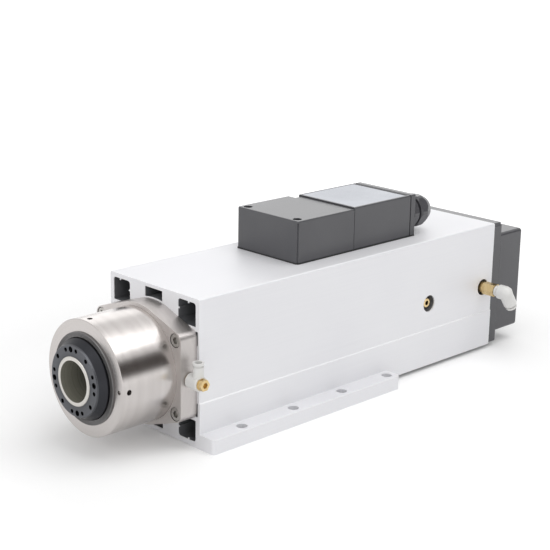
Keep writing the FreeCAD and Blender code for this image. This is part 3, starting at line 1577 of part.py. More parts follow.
def side_fittings():
    """A hollow plug in the middle port, and the hexagon nipple that carries the rear elbow."""
    plug = port_piece("mid_port_fitting", MID_PORT_Y, PORT_Z)
    thread = S.port_thread_radius - S.seat_gap
    inner_end = PORT_SEAT - S.fitting_thread_length
    body_radius = S.plug_body_radius
    flange_end = PORT_SEAT + S.plug_flange_length
    plug_end = PORT_SEAT + S.plug_length
    spin(plug, [
        (S.plug_bore, inner_end), (thread, inner_end), (thread, PORT_SEAT),
        (S.plug_flange_radius, PORT_SEAT), (S.plug_flange_radius, flange_end),
        (body_radius, flange_end + S.chamfer), (body_radius, plug_end - S.chamfer),
        (body_radius - S.chamfer, plug_end), (S.plug_bore, plug_end)])
    nipple = port_piece("rear_port_nipple", REAR_PORT_Y, PORT_Z)
    hex_start = HALF_WIDTH + S.nipple_proud
    tail_end = S.nipple_end + S.nipple_tail_length
    tail = S.nipple_tail_radius
    spin(nipple, [
        (S.nipple_bore, inner_end), (thread, inner_end), (thread, PORT_SEAT),
        (S.nipple_shank_radius, PORT_SEAT), (S.nipple_shank_radius, hex_start),
        (tail, hex_start), (tail, tail_end), (S.nipple_bore, tail_end)])
    hexagon = new_sketch(nipple, "XZ_Plane", hex_start)
    draw_polygon(hexagon, ZERO, ZERO, S.nipple_flats)
    draw_circle(hexagon, 0, 0, (S.nipple_bore + tail) / 2)
    extrude(nipple, hexagon, S.nipple_end - hex_start)


def front_elbow():
    z = S.axis_height - S.front_elbow_drop
    start = S.front_elbow_start
    stop = S.front_elbow_end
    bore = S.banjo_radius
    banjo_bolt(z, start - S.banjo_gap, stop + S.banjo_gap)
    elbow = port_piece("front_elbow", S.front_elbow_y, z)
    add_barrel(elbow, S.front_barrel_x, S.front_barrel_radius, S.front_barrel_top, True)
    outer = S.elbow_radius
    edge = S.chamfer
    inner = bore + S.running_clearance
    spin(elbow, [
        (inner, start), (outer - edge, start), (outer, start + edge), (outer, stop - edge),
        (outer - edge, stop), (inner, stop)])
    clear_bore(elbow, inner, start, stop)
    barrel_side = S.front_barrel_x + S.front_barrel_radius
    clear_bore(elbow, S.banjo_washer_radius + S.banjo_gap, stop, barrel_side + S.overcut)
    collar = port_piece("front_elbow_collar", S.front_elbow_y, z)
    add_collar(collar, S.front_barrel_x, S.front_barrel_top, S.collar_radius, True)


def banjo_bolt(z, start, stop):
    """Hollow bolt through the front elbow, with a socket in its hexagon head."""
    body = port_piece("front_banjo_bolt", S.front_elbow_y, z)
    flat = S.lug_x + S.lug_radius
    thread = S.banjo_radius - S.seat_gap
    end = flat - S.banjo_thread_length
    head_start = stop + S.banjo_washer_thickness
    spin(body, [
        (S.banjo_bore, end), (thread, end), (thread, flat), (S.banjo_seat_radius, flat),
        (S.banjo_seat_radius, start), (S.banjo_radius, start), (S.banjo_radius, stop),
        (S.banjo_washer_radius, stop), (S.banjo_washer_radius, head_start),
        (S.banjo_bore, head_start)])
    head = new_sketch(body, "XZ_Plane", head_start)
    draw_polygon(head, ZERO, ZERO, S.banjo_flats)
    extrude(body, head, S.banjo_end - head_start)
    socket = new_sketch(body, "XZ_Plane", S.banjo_end)
    draw_polygon(socket, ZERO, ZERO, S.banjo_flats / 2)
    cut(body, socket, S.banjo_socket_depth, forward=False)


def clear_bore(body, radius, start, stop):
    bore = new_sketch(body, "XZ_Plane", start)
    draw_circle(bore, 0, 0, radius)
    cut(body, bore, stop - start)


def add_barrel(body, along, radius, height, up):
    """The leg of an elbow that takes a tube, square to its swivel axis."""
    leg = new_sketch(body, "XY_Plane", ZERO)
    draw_circle(leg, 0, along, radius)
    extrude(body, leg, height, forward=up)
    mouth = new_sketch(body, "XY_Plane", height if up else -height)
    draw_circle(mouth, 0, along, S.tube_radius + S.collar_sleeve_wall + S.running_clearance)
    cut(body, mouth, height - S.elbow_radius, forward=not up)


def add_collar(body, along, height, radius, up):
    """Release collar: a flange over the barrel and a sleeve inside it."""
    sign = 1 if up else -1
    flange = new_sketch(body, "XY_Plane", (height + COLLAR_GAP) * sign)
    draw_circle(flange, 0, along, radius)
    draw_circle(flange, 0, along, S.tube_radius)
    extrude(body, flange, S.collar_height, forward=up)
    sleeve = new_sketch(body, "XY_Plane", (height - S.collar_sleeve_depth) * sign)
    draw_circle(sleeve, 0, along, S.tube_radius + S.collar_sleeve_wall)
    draw_circle(sleeve, 0, along, S.tube_radius)
    extrude(body, sleeve, S.collar_sleeve_depth + COLLAR_GAP, forward=up)


def rear_elbow():
    """Elbow on the rear nipple, its corner rounded and its leg hanging down and rearward."""
    tilt = S.rear_elbow_tilt.value
    body = port_piece("rear_elbow", REAR_PORT_Y, PORT_Z, tilt)
    start = S.nipple_end + S.body_gap
    corner = S.rear_elbow_corner_x
    small = S.rear_elbow_small
    large = S.rear_elbow_large
    neck = S.rear_elbow_neck
    leg = S.rear_elbow_drop - S.collar_height - COLLAR_GAP
    add_barrel(body, corner, S.rear_leg_radius, leg, False)
    round_edges(body, S.rear_leg_round, lambda edge: (
        near(edge.BoundBox.ZMax, -leg) and edge.BoundBox.XLength > S.rear_leg_radius.value * 1.5))
    outline = [(ZERO, start), (small, start), (small, start + neck), (large, start + neck * 2)]
    for angle in (0, 30, 60):
        turn = math.radians(angle)
        outline.append((large * math.cos(turn), corner + large * math.sin(turn)))
    spin(body, outline + [(ZERO, corner + large)])
    tail_end = S.nipple_end + S.nipple_tail_length + S.overcut
    clear_bore(body, S.nipple_tail_radius + S.running_clearance, start, tail_end)
    collar = port_piece("rear_elbow_collar", REAR_PORT_Y, PORT_Z, tilt)
    add_collar(collar, corner, leg, S.rear_collar_radius, False)


def fan_screw_places():
    half = S.fan_frame / 2 - S.fan_hole_inset
    return [(half * side, half * lift) for side in (-1, 1) for lift in (-1, 1)]


def drill_fan_screws(body, start, depth):
    holes = new_sketch(body, "XZ_Plane", start)
    for x, z in fan_screw_places():
        draw_circle(holes, x, z, S.cover_screw_radius + S.seat_gap)
    cut(body, holes, depth)


def cover_screws():
    """Screws through the cover's rear wall into the fan frame."""
    body = on_axis("fan_screws")
    depth = S.cover_wall + S.fan_depth / 2
    heads = new_sketch(body, "XZ_Plane", COVER_REAR)
    shanks = new_sketch(body, "XZ_Plane", COVER_REAR - depth)
    sockets = new_sketch(body, "XZ_Plane", COVER_REAR + S.cover_screw_head_height)
    for x, z in fan_screw_places():
        draw_circle(heads, x, z, S.cover_screw_radius * 2)
        draw_circle(shanks, x, z, S.cover_screw_radius)
        draw_polygon(sockets, x, z, S.cover_screw_socket_flats)
    extrude(body, heads, S.cover_screw_head_height)
    extrude(body, shanks, depth)
    cut(body, sockets, S.cover_screw_socket_depth, forward=False)


def main():
    housing_extrusion()
    nose_housing()
    flange_screws()
    grub_screws()
    bearing_nut()
    all_bearings()
    rear_carrier()
    stator()
    rotor()
    spindle_shaft()
    nose_ring()
    lock_nut()
    drawbar()
    disc_springs()
    gripper_balls()
    cylinder()
    piston()
    rear_plate()
    rear_cover()
    fan()
    cover_screws()
    terminal_box()
    box_screws()
    box_gasket()
    hood()
    terminal_block()
    gland()
    side_fittings()
    front_elbow()
    rear_elbow()


def check_model():
    """Stops on a failed object or an invalid shape."""
    for thing in DOC.Objects:
        if "Invalid" in thing.State or "Error" in thing.State:
            raise ValueError("%s: %s" % (thing.Label, thing.State))
    for piece in PARTS:
        if piece.Shape.isNull() or not piece.Shape.isValid():
            raise ValueError(piece.Label + " has no valid shape")


def write_parts():
    os.makedirs("parts", exist_ok=True)
    for piece in PARTS:
        piece.Shape.exportStep(os.path.join("parts", piece.Label + ".step"))


main()
DOC.recompute()
check_model()
write_parts()
for piece in PARTS:
    print(piece.Label, len(piece.Shape.Solids), round(piece.Shape.Volume / 1000, 2), piece.Shape.BoundBox)
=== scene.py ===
import bpy
import json
import math
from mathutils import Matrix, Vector


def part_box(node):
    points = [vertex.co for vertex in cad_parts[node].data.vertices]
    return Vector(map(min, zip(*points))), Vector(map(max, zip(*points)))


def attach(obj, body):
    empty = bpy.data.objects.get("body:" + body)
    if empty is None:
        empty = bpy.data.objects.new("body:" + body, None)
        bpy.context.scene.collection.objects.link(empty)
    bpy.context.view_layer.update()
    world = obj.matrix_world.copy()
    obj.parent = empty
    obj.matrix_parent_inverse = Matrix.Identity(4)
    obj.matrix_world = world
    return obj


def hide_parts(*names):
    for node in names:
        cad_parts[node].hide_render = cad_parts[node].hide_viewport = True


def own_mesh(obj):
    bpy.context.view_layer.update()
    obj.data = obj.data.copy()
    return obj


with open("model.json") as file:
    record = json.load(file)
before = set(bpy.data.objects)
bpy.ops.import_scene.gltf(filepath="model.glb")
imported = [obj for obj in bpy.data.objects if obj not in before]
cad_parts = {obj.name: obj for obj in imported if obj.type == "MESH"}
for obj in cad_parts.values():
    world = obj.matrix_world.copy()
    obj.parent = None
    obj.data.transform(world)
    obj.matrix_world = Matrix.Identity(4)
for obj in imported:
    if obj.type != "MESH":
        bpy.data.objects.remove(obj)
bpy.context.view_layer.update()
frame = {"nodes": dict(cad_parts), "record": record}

# Metres throughout. The nose points towards -Y, +Z is up, and seen from the front +X is on the right.

MM = 0.001
SPINDLE_AXIS = (0.0, 0.0, 0.059)
WHITE = (1.0, 1.0, 1.0, 1)
QUARTER_TURN = math.radians(90)

# Camera: the photograph's viewing angle, fitted to the housing's corners. Its turn is in degrees.

CAMERA_PLACE = (0.7840, -0.7675, 0.4189)
CAMERA_TURN = (73.94, -0.96, 45.54)
CAMERA_LENS = 91.35
CAMERA_SENSOR = 36.0

# Lamps: name, place, size and power. Mirrors don't see the side one, so that it leaves
# no second highlight on the nose barrel.

SOFTBOXES = (
    ("top_softbox", (0.5, 0.22, 1.55), 1.5, 13.5),
    ("front_softbox", (-0.4, -1.7, 0.8), 1.0, 7.0),
    ("side_softbox", (1.5, -0.85, 0.9), 1.0, 5.5),
    ("rear_softbox", (-1.55, 1.6, 1.05), 1.4, 4.5),
)
UNMIRRORED_LAMP = "side_softbox"
LAMP_TARGET = (0.0, 0.0, 0.05)
WORLD_LIGHT = 0.52

# The floor glows only for the camera, mirrors and glass, and more with its distance from the part

FLOOR_SIZE = 8
FLOOR_COLOUR = (0.9, 0.9, 0.9, 1)
FLOOR_ROUGHNESS = 0.9
FLOOR_SHINE = 0.1
GLOW_START = 0.25
GLOW_END = 1.2
GLOW_NEAR = 0.07
GLOW_FAR = 0.7

# The dark card stands to the right of the part and behind it. The nose barrel mirrors it as a dark band.

CARD_BEARING = math.radians(38)
CARD_DISTANCE = 2.3
CARD_LOW = 0.20
CARD_HIGH = 1.40
CARD_WIDTH = 4.0
CARD_COLOUR = (0.036, 0.024, 0.019, 1)

# Radii round the spindle axis at which one finish gives way to the next, and the change's width. Inside the
# taper bore and past the ring's face the change is to painted shade, past the ring's edge to painted light.

TAPER_BORE = 15.92 * MM
NOSE_RING_FACE = 27.6 * MM
NOSE_RING_EDGE = 31.45 * MM
BARREL_EDGE = 45.4 * MM
FINISH_STEP = 0.2 * MM
CONE_STEP = 0.3 * MM

# Painted shade makes the housing dark inside its outer walls, except for a lip at its front and its rear

CHANNEL_SKIN = 1.2 * MM
CHANNEL_LIP = 0.6 * MM

# Nearly all of a noise's values lie in the first span. The closer one gives more contrast.

NOISE_SPAN = (0.3, 0.7)
CLOSE_SPAN = (0.35, 0.65)

# Plain turned metals: name, dark tone, light tone, roughness and lines per metre

TURNED_METALS = (
    ("screw_steel", (0.36, 0.35, 0.33), (0.52, 0.50, 0.48), 0.32, 2500.0),
    ("bearing_steel", (0.58, 0.59, 0.6), (0.68, 0.69, 0.7), 0.18, 1800.0),
    ("black_oxide", (0.02, 0.02, 0.022), (0.04, 0.04, 0.043), 0.4, 2500.0),
    ("cast_aluminium", (0.52, 0.52, 0.53), (0.62, 0.62, 0.64), 0.36, 700.0),
    ("brass", (0.66, 0.49, 0.24), (0.78, 0.61, 0.33), 0.3, 1600.0),
)

# Moulded materials: name, dark tone, light tone, roughness, grain per metre and strength of the grain

MOULDED_MATERIALS = (
    ("black_plastic", (0.030, 0.030, 0.033), (0.044, 0.044, 0.047), 0.42, 2600.0, 0.3),
    ("white_plastic", (0.66, 0.655, 0.64), (0.72, 0.715, 0.70), 0.34, 1500.0, 0.08),
    ("rubber", (0.012, 0.012, 0.013), (0.02, 0.02, 0.021), 0.62, 1800.0, 0.3),
)

# Nodes whose edges are eased: node, the body it rides on, and its bevel in millimetres

EASED_NODES = (
    ("housing_extrusion", "housing", 0.35),
    ("nose_housing", "housing", 0.25),
    ("nose_flange_screws", "housing", 0.3),
    ("nose_grub_screws", "housing", 0.15),
    ("front_bearing_nut", "housing", 0.3),
    ("rear_plate", "housing", 0.6),
    ("rear_cover", "housing", 0.5),
    ("fan_frame", "housing", 0.3),
    ("fan_screws", "housing", 0.2),
    ("terminal_box", "housing", 0.6),
    ("terminal_box_screws", "housing", 0.2),
    ("terminal_box_gasket", "housing", 0.2),
    ("connector_hood", "housing", 0.5),
    ("hood_end_plate", "housing", 0.5),
    ("gland_body", "housing", 0.4),
    ("gland_nut", "housing", 0.5),
    ("mid_port_fitting", "housing", 0.2),
    ("rear_port_nipple", "housing", 0.3),
    ("front_banjo_bolt", "housing", 0.3),
    ("spindle_shaft", "rotor", 0.4),
    ("nose_ring", "rotor", 0.3),
    ("disc_springs", "rotor", 0.1),
    ("fan_impeller", "fan", 0.2),
    ("front_elbow", "front_elbow", 0.3),
    ("front_elbow_collar", "front_collar", 0.25),
    ("rear_elbow", "rear_elbow", 0.3),
    ("rear_elbow_collar", "rear_collar", 0.25),
)
BLACKENED_SCREWS = ("nose_grub_screws", "terminal_box_screws")
BEVEL_STEPS = 2
SHARP_EDGE = math.radians(30)
SQUARE_EDGE = math.radians(60)
FLAT_ENOUGH = math.radians(0.4)
FLAT_FACE_WEIGHT = 50
WELD_DISTANCE = 0.005 * MM

# Forms that only the finished pieces have

GASKET_CORNER = 3.0 * MM
GASKET_CUTS = [math.radians(angle) for angle in (15, 35, 55, 75)]
PLATE_STEP = 0.3 * MM
PLATE_FACING_UP = 0.99
PLATE_REACH = 0.1 * MM

# Bare label plate in its shallow bed on the connector hood

LABEL_BED_MARGIN = 1.6 * MM
LABEL_BED_DEPTH = 0.45 * MM
LABEL_BED_EDGE = 0.12 * MM
HOOD_FACING_UP = 0.999
HOOD_REACH = 0.01 * MM
LABEL_THICKNESS = 0.3 * MM
LABEL_CORNER = 1.2 * MM
LABEL_CORNER_STEPS = 5
LABEL_EDGE = 0.08 * MM
LABEL_GAP = 0.35 * MM
LABEL_REAR_GAP = 2.4 * MM


# Studio


def aim(thing, target):
    """Turns a lamp so that it looks at a point."""
    way = Vector(target) - thing.location
    thing.rotation_euler = way.to_track_quat("-Z", "Y").to_euler()


def place_camera():
    lens = bpy.data.cameras.new("camera")
    lens.lens = CAMERA_LENS
    lens.sensor_width = CAMERA_SENSOR
    camera = bpy.data.objects.new("camera", lens)
    bpy.context.scene.collection.objects.link(camera)
    camera.location = CAMERA_PLACE
    camera.rotation_euler = [math.radians(angle) for angle in CAMERA_TURN]
    bpy.context.scene.camera = camera


def hang_softboxes():
    """The lamps light the part, and the camera doesn't see them."""
    for name, place, size, power in SOFTBOXES:
        lamp = bpy.data.lights.new(name, "AREA")
        lamp.shape = "SQUARE"
        lamp.size = size
        lamp.energy = power
        thing = bpy.data.objects.new(name, lamp)
        bpy.context.scene.collection.objects.link(thing)
        thing.location = place
        thing.visible_camera = False
        thing.visible_glossy = name != UNMIRRORED_LAMP
        aim(thing, LAMP_TARGET)


def seen_directly(tree):
    """A value that is 1 for camera, glossy and transmission rays, and 0 for the rest."""
    path = tree.nodes.new("ShaderNodeLightPath").outputs
    mirrored = add_math(tree, "MAXIMUM", path["Is Camera Ray"], path["Is Glossy Ray"])
    return add_math(tree, "MAXIMUM", mirrored, path["Is Transmission Ray"])


def fill_world():
    """A plain world that cameras, mirrors and clear materials see as white."""
    world = bpy.data.worlds.new("studio")
    bpy.context.scene.world = world
    world.use_nodes = True
    tree = world.node_tree
    background = tree.nodes["Background"]
    background.inputs["Color"].default_value = WHITE
    strength = add_range(tree, seen_directly(tree), WORLD_LIGHT, 1.0)
    tree.links.new(strength, background.inputs["Strength"])


def lay_floor():
    """A white floor that keeps the part's shadow and stays white far away."""
    bpy.ops.mesh.primitive_plane_add(size=FLOOR_SIZE, location=(0, 0, 0))
    floor = bpy.context.object
    floor.name = "floor"
    material = bpy.data.materials.new("floor_white")
    material.use_nodes = True
    tree = material.node_tree
    shader = tree.nodes["Principled BSDF"]
    shader.inputs["Base Color"].default_value = FLOOR_COLOUR
    shader.inputs["Roughness"].default_value = FLOOR_ROUGHNESS
    shader.inputs["Specular IOR Level"].default_value = FLOOR_SHINE
    shader.inputs["Emission Color"].default_value = WHITE
    place = tree.nodes.new("ShaderNodeTexCoord")
    distance = tree.nodes.new("ShaderNodeVectorMath")
    distance.operation = "LENGTH"
    tree.links.new(place.outputs["Object"], distance.inputs[0])
    lift = add_range(tree, distance.outputs["Value"], GLOW_NEAR, GLOW_FAR, GLOW_START, GLOW_END)
    glow = add_math(tree, "MULTIPLY", lift, seen_directly(tree))
    tree.links.new(glow, shader.inputs["Emission Strength"])
    floor.data.materials.append(material)


def stand_dark_card():
    """A dark card that only mirrors see, so that the turned steel shows its bands."""
    middle = (CARD_LOW + CARD_HIGH) / 2
    place = (CARD_DISTANCE * math.cos(CARD_BEARING), CARD_DISTANCE * math.sin(CARD_BEARING), middle)
    turn = (QUARTER_TURN, 0, CARD_BEARING + QUARTER_TURN)
    bpy.ops.mesh.primitive_plane_add(size=1, location=place, rotation=turn)
    card = bpy.context.object
    card.name = "dark_card"
    card.scale = (CARD_WIDTH, CARD_HIGH - CARD_LOW, 1)
    card.visible_camera = False
    card.visible_diffuse = False
    card.visible_transmission = False
    card.visible_shadow = False
    material = bpy.data.materials.new("card_grey")
    material.use_nodes = True
    shader = material.node_tree.nodes["Principled BSDF"]
    shader.inputs["Base Color"].default_value = CARD_COLOUR
    shader.inputs["Roughness"].default_value = 1.0
    card.data.materials.append(material)


# Nodes that the effects, the finishes and the studio share


def add_math(tree, operation, first, second):
    """A Math node between two values, each of them a number or a socket."""
    node = tree.nodes.new("ShaderNodeMath")
    node.operation = operation
    for socket, value in zip(node.inputs, (first, second)):
        if isinstance(value, (int, float)):
            socket.default_value = value
        else:
            tree.links.new(value, socket)
    return node.outputs[0]


def add_range(tree, value, low, high, start=0.0, stop=1.0):
    """A value that goes from low to high while the socket's value goes from start to stop."""
    node = tree.nodes.new("ShaderNodeMapRange")
    node.inputs["From Min"].default_value = start
    node.inputs["From Max"].default_value = stop
    node.inputs["To Min"].default_value = low
    node.inputs["To Max"].default_value = high
    tree.links.new(value, node.inputs["Value"])
    return node.outputs[0]


def add_noise(tree, dimensions, place, scale, detail):
    """A noise along a value (1D) or in space (3D). Its scale is a number or a socket."""
    node = tree.nodes.new("ShaderNodeTexNoise")
    node.noise_dimensions = dimensions
    node.inputs["Detail"].default_value = detail
    tree.links.new(place, node.inputs["W" if dimensions == "1D" else "Vector"])
    if isinstance(scale, (int, float)):
        node.inputs["Scale"].default_value = scale
    else:
        tree.links.new(scale, node.inputs["Scale"])
    return node.outputs["Fac"]


# Shared effects


def new_group(name, control, value, outputs):
    """An empty node group with the piece's coordinates, one control and float outputs."""
    tree = bpy.data.node_groups.new(name, "ShaderNodeTree")
    tree.interface.new_socket("Object", in_out="INPUT", socket_type="NodeSocketVector")
    socket = tree.interface.new_socket(control, in_out="INPUT", socket_type="NodeSocketFloat")
    socket.default_value = value
    for title in outputs:
        tree.interface.new_socket(title, in_out="OUTPUT", socket_type="NodeSocketFloat")
    start = tree.nodes.new("NodeGroupInput").outputs
    end = tree.nodes.new("NodeGroupOutput").inputs
    return tree, start, end


def make_turning_lines():
    """Fine rings round the spindle axis, as a lathe leaves them on barrels and faces."""
    broad_share = 0.12
    tree, start, end = new_group("turning_lines", "Lines", 900.0, ("Height", "Tone", "Radius"))
    centred = tree.nodes.new("ShaderNodeVectorMath")
    centred.operation = "SUBTRACT"
    centred.inputs[1].default_value = SPINDLE_AXIS
    apart = tree.nodes.new("ShaderNodeSeparateXYZ")
    flat = tree.nodes.new("ShaderNodeCombineXYZ")
    radius = tree.nodes.new("ShaderNodeVectorMath")
    radius.operation = "LENGTH"
    tree.links.new(start["Object"], centred.inputs[0])
    tree.links.new(centred.outputs[0], apart.inputs[0])
    tree.links.new(apart.outputs["X"], flat.inputs["X"])
    tree.links.new(apart.outputs["Z"], flat.inputs["Z"])
    tree.links.new(flat.outputs[0], radius.inputs[0])
    path = add_math(tree, "ADD", radius.outputs["Value"], apart.outputs["Y"])
    broad_lines = add_math(tree, "MULTIPLY", start["Lines"], broad_share)
    tree.links.new(add_noise(tree, "1D", path, start["Lines"], detail=3), end["Height"])
    tree.links.new(add_noise(tree, "1D", path, broad_lines, detail=2), end["Tone"])
    tree.links.new(radius.outputs["Value"], end["Radius"])
    return tree


def make_drawn_grain():
    """Long faint streaks along the part, as an extrusion die leaves them."""
    drawn_out = (1, 0.012, 1)
    blotches_per_metre = 9
    streak_share = 0.4
    blotch_share = 0.6
    tree, start, end = new_group("drawn_grain", "Streaks", 700.0, ("Height", "Tone"))
    stretch = tree.nodes.new("ShaderNodeVectorMath")
    stretch.operation = "MULTIPLY"
    stretch.inputs[1].default_value = drawn_out
    tree.links.new(start["Object"], stretch.inputs[0])
    streaks = add_noise(tree, "3D", stretch.outputs[0], start["Streaks"], detail=3)
    blotches = add_noise(tree, "3D", start["Object"], blotches_per_metre, detail=2)
    tone = add_math(tree, "ADD", add_math(tree, "MULTIPLY", streaks, streak_share),
                    add_math(tree, "MULTIPLY", blotches, blotch_share))
    tree.links.new(streaks, end["Height"])
    tree.links.new(tone, end["Tone"])
    return tree


def make_moulded_skin():
    """The fine spark-eroded texture of a moulded case, with slow drifts in its tone."""
    drifts_per_metre = 24
    tree, start, end = new_group("moulded_skin", "Grain", 2600.0, ("Height", "Tone"))
    tree.links.new(add_noise(tree, "3D", start["Object"], start["Grain"], detail=2), end["Height"])
    tree.links.new(add_noise(tree, "3D", start["Object"], drifts_per_metre, detail=3), end["Tone"])
    return tree


def make_edge_highlight_and_rub():
    """A mask that is 1 on edges, for a painted highlight there and for the brightening of wear from
    handling.
    """
    samples = 4
    least_turn = 0.03
    full_turn = 0.25
    breaks_per_metre = 160
    least_rub = 0.35
    tree, start, end = new_group("edge_highlight_and_rub", "Reach", 0.6 * MM, ("Mask",))
    rounded = tree.nodes.new("ShaderNodeBevel")
    rounded.samples = samples
    face = tree.nodes.new("ShaderNodeNewGeometry")
    turn = tree.nodes.new("ShaderNodeVectorMath")
    turn.operation = "DOT_PRODUCT"
    tree.links.new(start["Reach"], rounded.inputs["Radius"])
    tree.links.new(rounded.outputs[0], turn.inputs[0])
    tree.links.new(face.outputs["Normal"], turn.inputs[1])
    bend = add_math(tree, "SUBTRACT", 1.0, turn.outputs["Value"])
    edge = add_range(tree, bend, 0.0, 1.0, least_turn, full_turn)
    broken = add_noise(tree, "3D", start["Object"], breaks_per_metre, detail=2)
    highlight_and_rub = add_math(tree, "MULTIPLY", edge, add_math(tree, "ADD", broken, least_rub))
    tree.links.new(highlight_and_rub, end["Mask"])
    return tree


EFFECTS = {
    "turned": make_turning_lines(),
    "drawn": make_drawn_grain(),
    "moulded": make_moulded_skin(),
    "lit_and_rubbed_edge": make_edge_highlight_and_rub(),
}


# Finishes


class Finish:
    """One material in the making: its nodes, its Principled shader and its coordinates."""

    def __init__(self, name, metallic):
        self.material = bpy.data.materials.new(name)
        self.material.use_nodes = True
        self.tree = self.material.node_tree
        self.shader = self.tree.nodes["Principled BSDF"]
        self.shader.inputs["Metallic"].default_value = metallic
        self.object = self.tree.nodes.new("ShaderNodeTexCoord").outputs["Object"]

    def effect(self, name, **values):
        """The outputs of a shared effect, with this finish's own values."""
        node = self.tree.nodes.new("ShaderNodeGroup")
        node.node_tree = EFFECTS[name]
        self.tree.links.new(self.object, node.inputs["Object"])
        for title, value in values.items():
            node.inputs[title].default_value = value
        return node.outputs

    def axes(self):
        """The coordinates as three values."""
        apart = self.tree.nodes.new("ShaderNodeSeparateXYZ")
        self.tree.links.new(self.object, apart.inputs[0])
        return apart.outputs

    def between(self, value, low, high, start=0.0, stop=1.0):
        return add_range(self.tree, value, low, high, start, stop)

    def mix(self, factor, low, high):
        """A colour from low to high. Each of them is a colour or a socket."""
        node = self.tree.nodes.new("ShaderNodeMix")
        node.data_type = "RGBA"
        self.tree.links.new(factor, node.inputs["Factor"])
        for socket, colour in ((node.inputs[6], low), (node.inputs[7], high)):
            if isinstance(colour, tuple):
                socket.default_value = (*colour, 1)
            else:
                self.tree.links.new(colour, socket)
        return node.outputs[2]

    def mottle(self, noise, dark, light, span=NOISE_SPAN):
        """A colour that drifts between two tones with a noise."""
        return self.mix(self.between(noise, 0, 1, *span), dark, light)

    def highlight_and_rub(self, colour, reach, amount, bright):
        """The colour, brighter on the edges: a painted highlight, and wear from handling."""
        edge = self.effect("lit_and_rubbed_edge", Reach=reach)["Mask"]
        return self.mix(self.between(edge, 0, amount), colour, bright)

    def past(self, radius, start, step=FINISH_STEP, full=1):
        """A value that goes from 0 to full just past a radius round the spindle axis."""
        return self.between(radius, 0, full, start, start + step)

    def feed(self, title, socket):
        self.tree.links.new(socket, self.shader.inputs[title])

    def fed(self, title):
        """The socket that feeds one of the shader's inputs so far."""
        return self.shader.inputs[title].links[0].from_socket

    def roughness(self, noise, low, high, span=NOISE_SPAN):
        """A roughness that drifts with a noise."""
        self.feed("Roughness", self.between(noise, low, high, *span))

    def bump(self, height, strength, distance):
        node = self.tree.nodes.new("ShaderNodeBump")
        node.inputs["Strength"].default_value = strength
        node.inputs["Distance"].default_value = distance
        self.tree.links.new(height, node.inputs["Height"])
        self.feed("Normal", node.outputs[0])


def turned_metal(name, dark, light, rough, lines, depth=0.25, spread=0.05):
    """A lathe-turned metal: rings in its height, tone and gloss."""
    finish = Finish(name, metallic=1.0)
    rings = finish.effect("turned", Lines=lines)
    finish.feed("Base Color", finish.mottle(rings["Tone"], dark, light))
    finish.roughness(rings["Height"], rough - spread, rough + spread)
    finish.bump(rings["Height"], strength=depth, distance=0.04 * MM)
    return finish, rings["Radius"]


def moulded_material(name, dark, light, rough, grain, depth):
    """A moulded plastic or rubber with its fine skin and slow drifts in tone."""
    rough_drift = 0.03
    finish = Finish(name, metallic=0.0)
    skin = finish.effect("moulded", Grain=grain)
    finish.feed("Base Color", finish.mottle(skin["Tone"], dark, light))
    finish.roughness(skin["Tone"], rough - rough_drift, rough + rough_drift, span=(0.0, 1.0))
    finish.bump(skin["Height"], strength=depth, distance=0.06 * MM)
    return finish


def grey_plastic():
    """The case plastic, a little paler on its edges: a painted highlight, partly wear."""
    finish = moulded_material("grey_plastic", dark=(0.060, 0.060, 0.066), light=(0.071, 0.071, 0.077),
                              rough=0.29, grain=2600.0, depth=0.3)
    plain = finish.fed("Base Color")
    # Painted highlight, partly wear: the edges turn towards this paler grey.
    finish.feed("Base Color", finish.highlight_and_rub(plain, reach=0.8 * MM, amount=0.25, bright=(0.22, 0.22, 0.23)))
    return finish.material


def anodised_aluminium():
    """Matt anodised aluminium, with painted highlights on its edges and painted shade that makes its
    channels dark inside.
    """
    dark = (0.75, 0.75, 0.775)
    light = (0.785, 0.785, 0.805)
    # Painted highlight colour for the edges, partly wear.
    lit_and_rubbed_edge = (0.97, 0.97, 0.98)
    # Painted shade: the colour inside the channels.
    channel_painted_shade = (0.15, 0.153, 0.162)
    finish = Finish("anodised_aluminium", metallic=0.2)
    grain = finish.effect("drawn", Streaks=900.0)
    plain = finish.mottle(grain["Tone"], dark, light, CLOSE_SPAN)
    skin = finish.highlight_and_rub(plain, reach=1.1 * MM, amount=0.9, bright=lit_and_rubbed_edge)
    # Painted shade: inside the channels the colour turns dark grey.
    finish.feed("Base Color", finish.mix(painted_channel_shade_mask(finish), skin, channel_painted_shade))
    finish.roughness(grain["Height"], low=0.46, high=0.56)
    finish.bump(grain["Height"], strength=0.12, distance=0.05 * MM)
    return finish.material


def painted_channel_shade_mask(finish):
    """A mask for the painted shade, 1 inside the housing's outer walls, between its front and rear faces."""
    place = finish.axes()
    low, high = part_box("housing_extrusion")
    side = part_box("rear_plate")[1][0] - CHANNEL_SKIN
    tests = (
        ("LESS_THAN", add_math(finish.tree, "ABSOLUTE", place["X"], 0.0), side),
        ("GREATER_THAN", place["Y"], low[1] + CHANNEL_LIP),
        ("LESS_THAN", place["Y"], high[1] - CHANNEL_LIP),
        ("LESS_THAN", place["Z"], high[2] - CHANNEL_SKIN),
        ("GREATER_THAN", place["Z"], CHANNEL_SKIN),
    )
    mask = 1.0
    for test, value, limit in tests:
        mask = add_math(finish.tree, "MULTIPLY", add_math(finish.tree, test, value, limit), mask)
    return mask


def nickel_steel():
    """Satin nickel, turned on the barrel and duller on the flange around it."""
    flange_dullness = 0.2
    finish, radius = turned_metal("nickel_steel", dark=(0.535, 0.505, 0.49), light=(0.575, 0.545, 0.53),
                                  rough=0.24, lines=1500.0, depth=0.006, spread=0.015)
    on_flange = finish.past(radius, BARREL_EDGE, full=flange_dullness)
    finish.feed("Roughness", add_math(finish.tree, "ADD", finish.fed("Roughness"), on_flange))
    return finish.material


